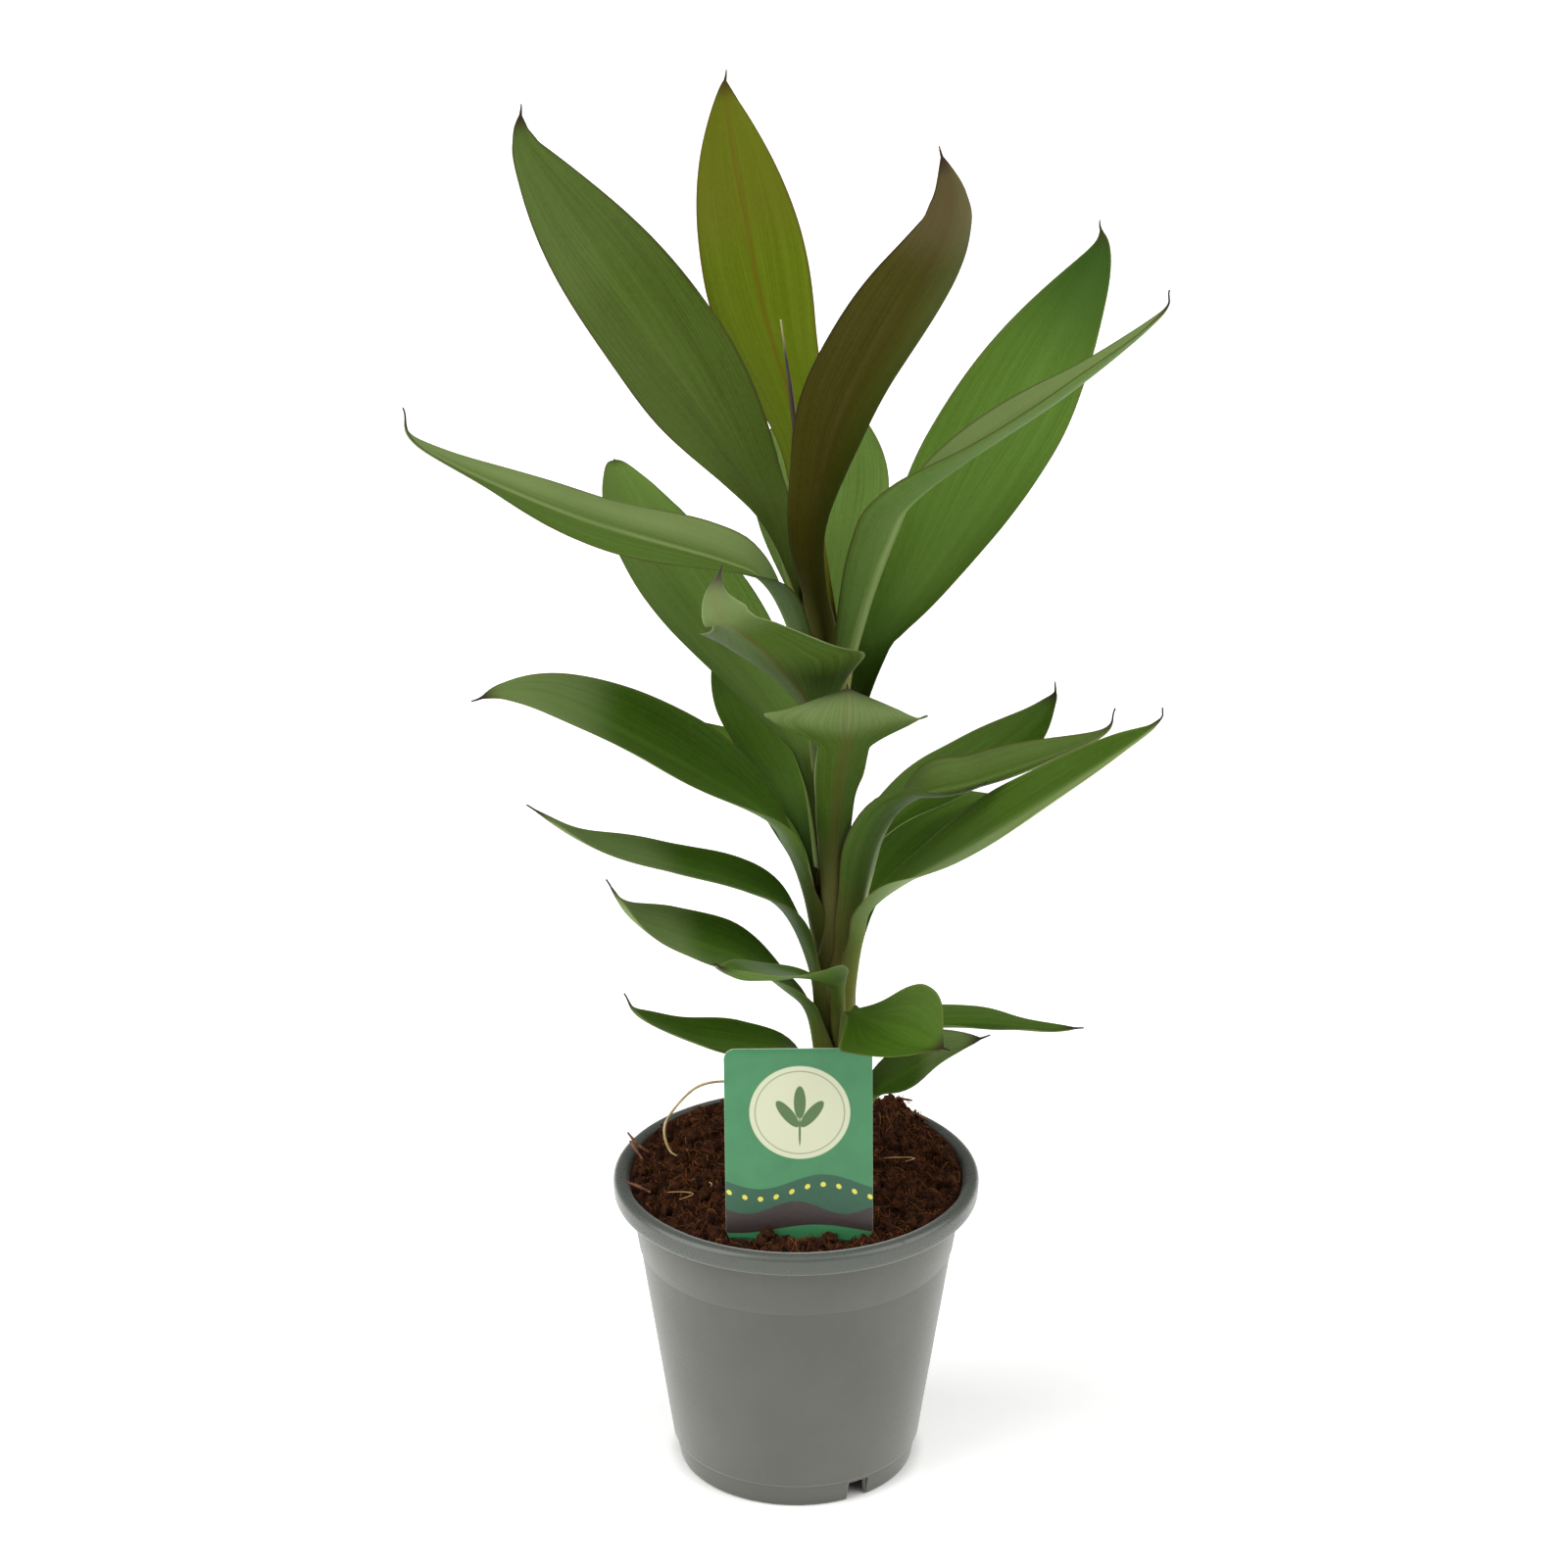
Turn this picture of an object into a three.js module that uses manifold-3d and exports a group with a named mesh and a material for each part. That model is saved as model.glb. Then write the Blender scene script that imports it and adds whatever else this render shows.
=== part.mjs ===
// A ti plant in its nursery pot, in millimetres, +Z up. The front of the plant faces -Y.
// The origin is the centre of the pot's foot, on the surface that the pot stands on.
// Each leaf is one closed blade: a channelled petiole that clasps the cane, and a pointed lance.
import * as THREE from "three";
import { mergeVertices } from "three/addons/utils/BufferGeometryUtils.js";
import Module from "manifold-3d";

const wasm = await Module();
wasm.setup();

// Air left between pieces that touch.
const GAP = 0.3;
// The least step that keeps two corners of a section apart.
const CLOSE = 0.1;

const POT = {
  height: 104,
  rimRadius: 60,
  lipDrop: 7,
  lipThickness: 1.4,
  throatRadius: 56,
  stepDrop: 25,
  stepInset: 0.5,
  heelRadius: 41,
  heelHeight: 8,
  heelEdge: 0.7,
  footRadius: 38.8,
  footThickness: 2.4,
  edge: 0.6,
  wall: 1.4,
  floorHeight: 5,
  sides: 54,
  slotTurns: [-59, 61, 181],
  slotWidth: 7.5,
  slotHeight: 7,
  slotStart: 30,
  slotOvershoot: 3,
};

// The rim's rounded section: steps in from the rim's radius, and heights below the pot's top.
const RIM = [
  [0, 5.5],
  [0.2, 1.8],
  [1.1, 0.5],
  [2.2, 0],
  [3.4, 0.3],
];

const SOIL = {
  brim: 101.6,
  dome: 1.2,
  lumpHeight: 1,
  clumpHeight: 6,
  clumpSpread: 160,
  clumpAt: [36, 27],
  rings: 9,
  sides: 44,
  headroom: 20,
  holeSides: 24,
};

// The cane leans a little, and its foot stands in a plain hole in the soil.
const CANE = {
  route: [
    [13, 1, 48],
    [13, 1, 98],
    [12.5, 1, 150],
    [11, 1, 205],
    [9.5, 2, 260],
    [8.5, 3, 300],
  ],
  footRadius: 4.6,
  topRadius: 1.6,
  sides: 12,
  steps: 18,
};

const LABEL = {
  width: 47,
  height: 69,
  thickness: 0.7,
  topCorner: 3.5,
  footCorner: 7,
  cornerCells: 5,
  tongueWidth: 27,
  tongueLength: 26,
  tiltBack: 3,
  swing: -0.5,
  foot: [1, -43.5, 99],
};

const FIBRE = {
  radius: 0.5,
  sides: 6,
  steps: 26,
  route: [
    [-9, 30, 104],
    [-15, 22, 123],
    [-24, 21, 126],
    [-34, 19, 124],
    [-43, 15, 114],
    [-42, 11, 106],
    [-37, 9, 103.4],
  ],
};

const LEAF = {
  acrossCells: 4,
  cellLength: 10,
  leastCells: 9,
  footGap: 0.6,
  petioleHalf: 4.4,
  ribThickness: 1.5,
  marginThickness: 0.64,
  needleHalf: 0.45,
  needleLength: 3.5,
  taper: 2.1,
  curl: [0, 0],
};

const GREEN = {
  deep: 0x46732c,
  fresh: 0x7d9136,
  bronze: 0x51431f,
  pale: 0x6a8a48,
};

const COLOUR = {
  pot: 0x80827a,
  soil: 0x2b1c14,
  cane: 0x6b5a3a,
  label: 0x4b965f,
  fibre: 0xb8a06c,
};

const GLOSS = { smooth: 0.3, satin: 0.48, dull: 0.85 };

// height: where the leaf leaves the cane. width: the blade laid flat, margin to margin.
// facing: the compass turn of the blade's underside, in degrees, from the foot to the tip.
// spine: points on the midrib above the foot.
// petiole and widest: shares of the length where the blade starts and where it is widest.
// cup: how far each half bends up from the midrib. curl: how far its margin bends back down.
// roll: turn about the midrib. All three are in degrees, from the foot to the tip.
// petioleHalf and throatHalf, where given: half the petiole's width at its foot and at the blade.
// taper, where given: how bluntly the blade ends.
const LEAVES = [
  {
    name: "leaf_top_left",
    height: 276,
    facing: [175, 118, 104],
    spine: [
      [-6, 6, 323],
      [-16, 8, 343],
      [-45, 17, 386],
      [-77, 22, 432],
      [-84, 24, 446],
      [-84, 25, 456],
    ],
    width: 40,
    petiole: 0.12,
    widest: 0.55,
    cup: [70, 34, 22, 26],
    roll: [0, 0, 0, 0],
    tone: GREEN.deep,
  },
  {
    name: "leaf_top_upright",
    height: 284,
    facing: [86, 94, 90],
    spine: [
      [4, 14, 325],
      [1, 25, 350],
      [-9, 38, 381],
      [-15, 47, 407],
      [-22, 60, 446],
      [-22, 63, 457],
    ],
    width: 34,
    petiole: 0.2,
    widest: 0.66,
    cup: [70, 30, 20, 26],
    roll: [0, 0, 0, 0],
    tone: GREEN.fresh,
  },
  {
    name: "leaf_top_front",
    height: 290,
    facing: [-80, -70, -60],
    spine: [
      [4, -11, 325],
      [8, -16, 352],
      [17, -24, 380],
      [41, -40, 428],
      [45, -44, 445],
      [41, -45, 462],
    ],
    width: 34,
    petiole: 0.05,
    widest: 0.62,
    cup: [70, 40, 26, 30],
    roll: [0, 0, 0, 0],
    tone: GREEN.bronze,
  },
  {
    name: "leaf_top_back",
    height: 266,
    facing: [90, 88, 88],
    spine: [
      [8, 24, 312],
      [8, 38.5, 326.5],
      [8, 53, 337],
      [9, 68.5, 342],
      [9, 84, 341.5],
    ],
    width: 44,
    petiole: 0.1,
    widest: 0.55,
    cup: [70, 34, 20, 26],
    roll: [0, 0, 0, 0],
    tone: GREEN.pale,
  },
  {
    name: "leaf_upper_right_back",
    height: 236,
    facing: [50, 60, 66],
    spine: [
      [23, 6, 279],
      [28, 10, 291],
      [41, 18, 309],
      [72, 42, 357],
      [95, 63, 394],
      [96, 68, 407],
    ],
    width: 44,
    petiole: 0.14,
    widest: 0.58,
    cup: [70, 34, 22, 30],
    roll: [0, 0, 0, 0],
    tone: GREEN.deep,
  },
  {
    name: "leaf_upper_right_folded",
    height: 252,
    facing: [-62, -44, -22],
    spine: [
      [17, -9, 290],
      [28, -17, 329],
      [39, -22, 348],
      [82, -26, 381],
      [109, -16, 401],
      [112, -14, 409],
    ],
    width: 32,
    petiole: 0.1,
    widest: 0.5,
    cup: [70, 55, 50, 40],
    roll: [0, 8, 20, 10],
    tone: GREEN.deep,
  },
  {
    name: "leaf_upper_left_arching",
    height: 246,
    facing: [200, 205, 200],
    spine: [
      [3, -8, 278],
      [-2, -17, 301],
      [-10, -24, 319],
      [-23, -30, 328],
      [-67, -46, 348],
      [-110, -60, 374],
      [-116, -60, 387],
    ],
    width: 40,
    petiole: 0.12,
    widest: 0.5,
    cup: [70, 40, 14, 26],
    roll: [0, -6, -14, -8],
    curl: [0, 0, 20, 0],
    tone: GREEN.deep,
  },
  {
    name: "leaf_upper_left_back",
    height: 212,
    facing: [146, 127, 125],
    spine: [
      [3, 8, 242],
      [-4, 16, 257],
      [-40, 40, 299.5],
      [-50, 54, 310.5],
      [-55.5, 66, 318],
      [-58.5, 75, 322.5],
      [-59.5, 83, 322],
    ],
    width: 38,
    petiole: 0.1,
    widest: 0.58,
    cup: [70, 34, 24, 30],
    roll: [0, 0, 0, 0],
    taper: 2.3,
    tone: GREEN.deep,
  },
  {
    name: "leaf_upper_front_left",
    height: 222,
    facing: [-105, -118, -114, -110],
    spine: [
      [8, -15, 262],
      [2.5, -32, 284],
      [-4.5, -46, 299],
      [-11, -57, 310.5],
      [-17, -63, 318],
      [-22, -65, 322.5],
      [-24.5, -61, 329],
      [-22.5, -53, 335],
    ],
    width: 57,
    petiole: 0.4,
    widest: 0.68,
    cup: [70, 60, 50, 44, 40],
    roll: [0, 2, 4, 0, 2],
    taper: 0.8,
    curl: [0, 0, 10, 50, 20],
    throatHalf: 8,
    tone: GREEN.pale,
  },
  {
    name: "leaf_middle_front",
    height: 176,
    facing: [-73, -84, -92],
    spine: [
      [12.4, -14, 217],
      [12, -22, 234],
      [12.3, -32, 249],
      [13.4, -43, 264],
      [14.6, -53, 276.5],
      [15.1, -61, 286.5],
      [15.4, -58, 293],
      [15.2, -45.5, 293.6],
    ],
    width: 52,
    petiole: 0.74,
    widest: 0.86,
    cup: [70, 64, 60, 56, 40],
    roll: [0, 0, 0, 3],
    curl: [0, 0, 10, 130, 40],
    taper: 1.2,
    petioleHalf: 3.6,
    throatHalf: 8.4,
    tone: GREEN.pale,
  },
  {
    name: "leaf_middle_left_arching",
    height: 182,
    facing: [205, 198, 198],
    spine: [
      [3, -8, 207],
      [-3, -16, 227],
      [-12, -24, 243],
      [-41, -34, 266],
      [-72, -42, 286],
      [-89, -46, 291],
      [-99, -50, 290],
    ],
    width: 40,
    petiole: 0.12,
    widest: 0.55,
    cup: [70, 44, 36, 20],
    roll: [0, -12, -22, -20],
    tone: GREEN.deep,
  },
  {
    name: "leaf_middle_left_back",
    height: 196,
    facing: [138, 122, 120],
    spine: [
      [4, 12, 219],
      [-3, 22, 236],
      [-13, 36, 250],
      [-22, 50, 262],
      [-29, 60, 270],
    ],
    width: 32,
    petiole: 0.12,
    widest: 0.55,
    cup: [70, 34, 24, 30],
    roll: [0, 0, 0, 0],
    tone: GREEN.fresh,
  },
  {
    name: "leaf_middle_right_back",
    height: 190,
    facing: [32, 44, 48],
    spine: [
      [19, 8, 211],
      [27, 16, 218],
      [39, 28, 223],
      [73, 52, 236],
      [84, 60, 246],
      [85, 62, 252],
    ],
    width: 30,
    petiole: 0.12,
    widest: 0.6,
    cup: [70, 40, 24, 30],
    roll: [0, 0, 0, 0],
    tone: GREEN.deep,
  },
  {
    name: "leaf_middle_right_folded",
    height: 168,
    facing: [-52, -44, -12],
    spine: [
      [21, -13, 211],
      [26.5, -16.5, 232],
      [37, -17, 244],
      [57, -16, 249],
      [94, -9, 261],
      [100, -6, 270],
    ],
    width: 30,
    petiole: 0.2,
    widest: 0.55,
    cup: [70, 50, 40, 40],
    roll: [0, 4, 12, 6],
    petioleHalf: 4,
    throatHalf: 7,
    tone: GREEN.deep,
  },
  {
    name: "leaf_middle_right_arching",
    height: 158,
    facing: [-50, -32, -24],
    spine: [
      [20, -14, 193],
      [26, -21, 211],
      [58, -42, 242],
      [99, -52, 275],
      [110, -51, 284],
      [111, -50, 288],
    ],
    width: 40,
    petiole: 0.2,
    widest: 0.58,
    cup: [70, 44, 22, 36],
    roll: [0, 10, 18, 12],
    tone: GREEN.deep,
  },
  {
    name: "leaf_lower_left_narrow",
    height: 154,
    facing: [194, 200, 200],
    spine: [
      [5, -8, 180],
      [-4, -18, 206],
      [-19, -26, 219],
      [-41, -34, 229],
      [-65, -42, 240],
      [-83, -48, 255],
    ],
    width: 25,
    petiole: 0.15,
    widest: 0.5,
    cup: [70, 44, 26, 30],
    roll: [0, -4, -8, -4],
    petioleHalf: 4.3,
    tone: GREEN.deep,
  },
  {
    name: "leaf_lower_left_broad",
    height: 140,
    facing: [212, 212, 212],
    spine: [
      [4, -8, 165],
      [-4, -16, 178],
      [-18, -24, 192],
      [-36, -32, 202],
      [-51, -40, 213],
      [-59, -46, 229],
    ],
    width: 28,
    petiole: 0.15,
    widest: 0.55,
    cup: [70, 44, 26, 30],
    roll: [0, -12, -26, -10],
    petioleHalf: 4,
    tone: GREEN.deep,
  },
  {
    name: "leaf_lower_front_left",
    height: 148,
    facing: [-72, -98, -120],
    spine: [
      [13, -16, 175.5],
      [10.5, -25, 184],
      [3, -40, 193],
      [-7, -56, 200.5],
      [-17, -70, 206.5],
      [-25, -84, 218],
    ],
    width: 31,
    petiole: 0.22,
    widest: 0.6,
    cup: [70, 44, 26, 30],
    roll: [0, 0, 0, 0],
    petioleHalf: 2.6,
    tone: GREEN.deep,
  },
  {
    name: "leaf_lowest_left",
    height: 118,
    facing: [215, 210, 208],
    spine: [
      [1, -11, 150],
      [-15, -22, 160],
      [-33, -32, 168],
      [-49, -40, 179],
      [-54, -44, 189],
    ],
    width: 22,
    petiole: 0.15,
    widest: 0.5,
    cup: [70, 44, 26, 30],
    roll: [0, -4, -14, -4],
    tone: GREEN.deep,
  },
  {
    name: "leaf_lowest_front_right",
    height: 130,
    facing: [-62, -58, -50],
    spine: [
      [16.5, -18, 167.5],
      [18.5, -26, 173],
      [24, -38, 176],
      [31, -52, 180],
      [39.5, -66, 182.5],
      [47, -76, 185],
    ],
    width: 36,
    petiole: 0.44,
    widest: 0.7,
    cup: [70, 44, 26, 30],
    roll: [0, 14, 26, 20],
    petioleHalf: 2.8,
    tone: GREEN.deep,
  },
  {
    name: "leaf_lowest_right_narrow",
    height: 124,
    facing: [25, 22, 20],
    spine: [
      [26, 10, 147],
      [41, 18, 148],
      [61, 26, 145],
      [81, 34, 139],
      [96, 41, 136],
    ],
    width: 20,
    petiole: 0.15,
    widest: 0.5,
    cup: [70, 44, 26, 30],
    roll: [0, 0, 0, 0],
    tone: GREEN.deep,
  },
  {
    name: "leaf_lowest_right_drooping",
    height: 110,
    facing: [-15, -15, -18],
    spine: [
      [25, -5, 133],
      [36, -9, 144],
      [48, -14, 154],
      [62, -18, 162],
    ],
    width: 26,
    petiole: 0.15,
    widest: 0.55,
    cup: [70, 44, 26, 30],
    roll: [0, 12, 20, 10],
    tone: GREEN.deep,
  },
  {
    name: "leaf_middle_back",
    height: 202,
    facing: [68, 76, 72],
    spine: [
      [15, 10, 240],
      [16, 24, 266],
      [20, 42, 279],
      [27, 62, 288],
      [32, 82, 292],
    ],
    width: 22,
    petiole: 0.2,
    widest: 0.6,
    cup: [70, 40, 26, 26],
    roll: [0, 0, 0, 0],
    petioleHalf: 3,
    tone: GREEN.deep,
  },
  {
    name: "leaf_lower_back_left",
    height: 162,
    facing: [120, 126, 126],
    spine: [
      [8, 10, 186],
      [2, 22, 209],
      [-9, 42, 224],
      [-21, 60, 231],
      [-33, 76, 233],
    ],
    width: 22,
    petiole: 0.2,
    widest: 0.6,
    cup: [70, 40, 26, 26],
    roll: [0, 0, 0, 0],
    petioleHalf: 3.4,
    tone: GREEN.deep,
  },
  {
    name: "leaf_lower_back_right",
    height: 146,
    facing: [70, 60, 52],
    spine: [
      [19, 12, 184],
      [25, 25, 198],
      [39, 45, 206],
      [56, 65, 207],
      [72, 80, 204],
    ],
    width: 28,
    petiole: 0.2,
    widest: 0.6,
    cup: [70, 40, 26, 26],
    roll: [0, 0, 0, 0],
    petioleHalf: 3.4,
    tone: GREEN.deep,
  },
];

// The newest leaf, still rolled tight, rises from the top of the cane.
const SPEAR = {
  route: [
    [8.5, 3, 300.4],
    [5.5, 3, 320],
    [1, 3, 346],
    [-2, 3, 371],
    [-5, 4, 394],
  ],
  footRadius: 1.6,
  middleRadius: 1.3,
  tipRadius: 0.35,
  middle: 0.6,
  sides: 8,
  steps: 12,
};

const radians = THREE.MathUtils.degToRad;

// The value at a share of the way along a list of evenly spaced settings, eased between them.
function along(values, share) {
  const reach = share * (values.length - 1);
  const cell = Math.min(Math.floor(reach), values.length - 2);
  const ease = THREE.MathUtils.smoothstep(reach - cell, 0, 1);
  return THREE.MathUtils.lerp(values[cell], values[cell + 1], ease);
}

function curveThrough(points) {
  const stops = points.map((point) => new THREE.Vector3(...point));
  return new THREE.CatmullRomCurve3(stops, false, "catmullrom", 0.5);
}

// A closed skin over a row of rings that all have the same even number of points.
// The two long sides are split alike, so a thin waved blade never crosses itself.
function loft(rings) {
  const count = rings[0].length;
  const half = count / 2;
  const last = (rings.length - 1) * count;
  const faces = [];
  for (let row = 0; row < rings.length - 1; row += 1) {
    for (let turn = 0; turn < count; turn += 1) {
      const next = (turn + 1) % count;
      const near = [row * count + turn, row * count + next];
      const far = [near[0] + count, near[1] + count];
      if (turn < half) faces.push(near[0], near[1], far[1], near[0], far[1], far[0]);
      else faces.push(near[0], near[1], far[0], near[1], far[1], far[0]);
    }
  }
  for (let turn = 0; turn < half - 1; turn += 1) {
    const across = count - 1 - turn;
    faces.push(turn, across, turn + 1, turn + 1, across, across - 1);
    faces.push(last + turn, last + turn + 1, last + across);
    faces.push(last + turn + 1, last + across - 1, last + across);
  }
  const positions = rings.flat().flatMap((point) => point.toArray());
  const geometry = new THREE.BufferGeometry();
  geometry.setAttribute("position", new THREE.Float32BufferAttribute(positions, 3));
  geometry.setIndex(faces);
  return geometry;
}

function toSolid(geometry) {
  const bare = geometry.clone();
  bare.deleteAttribute("normal");
  bare.deleteAttribute("uv");
  const merged = mergeVertices(bare);
  const vertProperties = merged.getAttribute("position").array;
  const triVerts = new Uint32Array(merged.getIndex().array);
  return new wasm.Manifold(new wasm.Mesh({ numProp: 3, vertProperties, triVerts }));
}

function toGeometry(solid) {
  const mesh = solid.getMesh();
  const geometry = new THREE.BufferGeometry();
  geometry.setAttribute("position", new THREE.BufferAttribute(mesh.vertProperties, 3));
  geometry.setIndex(new THREE.BufferAttribute(mesh.triVerts, 1));
  geometry.computeVertexNormals();
  return geometry;
}

// A solid of revolution about Z. The profile is a list of [radius, height].
function turned(profile, sides) {
  const points = profile.map(([radius, height]) => new THREE.Vector2(radius, height));
  return new THREE.LatheGeometry(points, sides).rotateX(Math.PI / 2);
}

// Half the blade's width at a share of its length: petiole, swelling lance, point, needle.
function halfWidth(leaf, share, needleShare) {
  const petioleHalf = leaf.petioleHalf ?? LEAF.petioleHalf;
  const bladeHalf = leaf.width / 2;
  if (share < leaf.widest) {
    const throatHalf = leaf.throatHalf ?? petioleHalf;
    const channelHalf = THREE.MathUtils.lerp(petioleHalf, throatHalf, Math.min(share / leaf.petiole, 1));
    const rise = THREE.MathUtils.smoothstep(share, leaf.petiole, leaf.widest);
    return THREE.MathUtils.lerp(channelHalf, bladeHalf, rise);
  }
  const fall = THREE.MathUtils.clamp((share - leaf.widest) / (needleShare - leaf.widest), 0, 1);
  return THREE.MathUtils.lerp(bladeHalf, LEAF.needleHalf, fall ** (leaf.taper ?? LEAF.taper));
}

function caneCentre(height) {
  const route = CANE.route;
  const top = route.findIndex((point) => point[2] >= height);
  const share = (height - route[top - 1][2]) / (route[top][2] - route[top - 1][2]);
  return new THREE.Vector3(...route[top - 1]).lerp(new THREE.Vector3(...route[top]), share);
}

function caneRadius(height) {
  const share = (height - CANE.route[0][2]) / (CANE.route.at(-1)[2] - CANE.route[0][2]);
  return THREE.MathUtils.lerp(CANE.footRadius, CANE.topRadius, share ** 2);
}

function leafSpine(leaf) {
  const turn = radians(leaf.facing[0]);
  const clear = caneRadius(leaf.height) + LEAF.footGap + LEAF.ribThickness / 2;
  const foot = caneCentre(leaf.height);
  foot.x += clear * Math.cos(turn);
  foot.y += clear * Math.sin(turn);
  return curveThrough([foot.toArray(), ...leaf.spine]);
}

// The blade's bend from its midrib's plane, at a reach of -1 to 1 from margin to margin.
function bendAt(leaf, share, reach) {
  const away = Math.abs(reach);
  const cup = radians(along(leaf.cup, share));
  const curl = radians(along(leaf.curl ?? LEAF.curl, share));
  return Math.sign(reach) * (cup * away - curl * away ** 3);
}

// The ring of points round the blade at a share of its length: lower face, then upper face.
function bladeRing(leaf, path, share, needleShare) {
  const turn = radians(along(leaf.facing, share));
  const run = path.getTangentAt(share);
  const side = new THREE.Vector3(-Math.sin(turn), Math.cos(turn), 0);
  side.addScaledVector(run, -side.dot(run)).normalize();
  side.applyAxisAngle(run, radians(along(leaf.roll, share)));
  const face = run.clone().cross(side);
  const step = (2 * halfWidth(leaf, share, needleShare)) / LEAF.acrossCells;
  const tilted = (start, angle, reach) => {
    const end = start.clone().addScaledVector(side, Math.cos(angle) * reach);
    return end.addScaledVector(face, Math.sin(angle) * reach);
  };
  const points = [path.getPointAt(share)];
  for (let cell = 0; cell < LEAF.acrossCells / 2; cell += 1) {
    const reach = (2 * cell + 1) / LEAF.acrossCells;
    points.unshift(tilted(points[0], bendAt(leaf, share, -reach), -step));
    points.push(tilted(points.at(-1), bendAt(leaf, share, reach), step));
  }
  const faceAt = (depth) =>
    points.map((point, index) => {
      const reach = (2 * index) / LEAF.acrossCells - 1;
      const crown = (1 - Math.abs(reach)) ** 2;
      const quarter = bendAt(leaf, share, reach) + Math.PI / 2;
      return tilted(point, quarter, depth(crown));
    });
  const skin = LEAF.marginThickness / 2;
  const lower = faceAt((crown) => -THREE.MathUtils.lerp(skin, LEAF.ribThickness - skin, crown));
  return [...lower, ...faceAt(() => skin).reverse()];
}

function leafGeometry(leaf) {
  const path = leafSpine(leaf);
  const needleShare = 1 - LEAF.needleLength / path.getLength();
  const cells = Math.max(LEAF.leastCells, Math.round(path.getLength() / LEAF.cellLength));
  const rings = [];
  for (let row = 0; row <= cells; row += 1) {
    rings.push(bladeRing(leaf, path, (needleShare * row) / cells, needleShare));
  }
  rings.push(bladeRing(leaf, path, 1, needleShare));
  return loft(rings);
}

// No rod in this plant runs along this direction, so each ring can start from it.
const ROD_SIDE = new THREE.Vector3(0, 1, 0.2);

// A round rod along a path, with a radius that may change from end to end.
function rodGeometry(path, radiusAt, steps, sides) {
  const rings = [];
  for (let step = 0; step <= steps; step += 1) {
    const share = step / steps;
    const run = path.getTangentAt(share);
    const side = ROD_SIDE.clone();
    side.addScaledVector(run, -side.dot(run)).normalize();
    const other = run.clone().cross(side);
    const centre = path.getPointAt(share);
    const radius = radiusAt(share, centre.z);
    const ring = [];
    for (let corner = 0; corner < sides; corner += 1) {
      const angle = (2 * Math.PI * corner) / sides;
      const point = centre.clone().addScaledVector(side, radius * Math.cos(angle));
      ring.push(point.addScaledVector(other, radius * Math.sin(angle)));
    }
    rings.push(ring);
  }
  return loft(rings);
}

function spearRadius(share) {
  const { footRadius, middleRadius, tipRadius, middle } = SPEAR;
  if (share < middle) return THREE.MathUtils.lerp(footRadius, middleRadius, share / middle);
  return THREE.MathUtils.lerp(middleRadius, tipRadius, (share - middle) / (1 - middle));
}

function wallRadius(height) {
  const base = POT.height - POT.lipDrop;
  const share = (height - POT.heelHeight) / (base - POT.heelHeight);
  return THREE.MathUtils.lerp(POT.heelRadius, POT.throatRadius - POT.wall, share);
}

function potSolid() {
  const { height, rimRadius, lipDrop, lipThickness, wall, edge, floorHeight } = POT;
  const lipFoot = height - lipDrop;
  const step = height - POT.stepDrop;
  const shell = turned(
    [
      [0, floorHeight],
      [POT.footRadius - POT.footThickness, floorHeight],
      [POT.footRadius - POT.footThickness, edge],
      [POT.footRadius - POT.footThickness + edge, 0],
      [POT.footRadius - edge, 0],
      [POT.footRadius, edge],
      [POT.heelRadius - POT.heelEdge, POT.heelHeight],
      [POT.heelRadius, POT.heelHeight + edge],
      [wallRadius(step) - POT.stepInset, step - edge],
      [wallRadius(step), step],
      [wallRadius(lipFoot), lipFoot],
      [wallRadius(lipFoot) + CLOSE, height - 2 * lipThickness],
      [rimRadius - lipThickness, height - 2 * lipThickness],
      [rimRadius - lipThickness - GAP, lipFoot],
      [rimRadius - GAP, lipFoot],
      ...RIM.map(([inset, drop]) => [rimRadius - inset, height - drop]),
      [POT.throatRadius - edge, height - lipThickness],
      [wallRadius(lipFoot) - wall, lipFoot],
      [POT.heelRadius - wall - edge, floorHeight + wall],
      [0, floorHeight + wall],
    ],
    POT.sides,
  );
  return POT.slotTurns.reduce((solid, turn) => solid.subtract(slotCutter(turn)), toSolid(shell));
}

// A drain slot runs out through the foot ring and up through the edge of the pot's floor.
function slotCutter(turn) {
  const reach = POT.footRadius + POT.slotOvershoot - POT.slotStart;
  const tall = POT.slotHeight + POT.slotOvershoot;
  const box = new THREE.BoxGeometry(reach, POT.slotWidth, tall);
  box.translate(POT.slotStart + reach / 2, 0, POT.slotHeight - tall / 2);
  box.rotateZ(radians(turn));
  return toSolid(box);
}

// The soil's top: a low dome, three crossing waves of lumps, and one clump at the back right.
function soilHeight(x, y) {
  const away = Math.hypot(x, y) / POT.throatRadius;
  const long = Math.sin(0.21 * x + 0.6) * Math.cos(0.24 * y - 0.4);
  const middle = 0.6 * Math.sin(0.43 * x + 0.37 * y + 1.9);
  const short = 0.5 * Math.cos(0.62 * y - 0.31 * x);
  const lumps = SOIL.lumpHeight * (long + middle + short);
  const offCentre = (x - SOIL.clumpAt[0]) ** 2 + (y - SOIL.clumpAt[1]) ** 2;
  const clump = SOIL.clumpHeight * Math.exp(-offCentre / SOIL.clumpSpread);
  return SOIL.brim + SOIL.dome * (1 - away ** 2) + lumps + clump;
}

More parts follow.
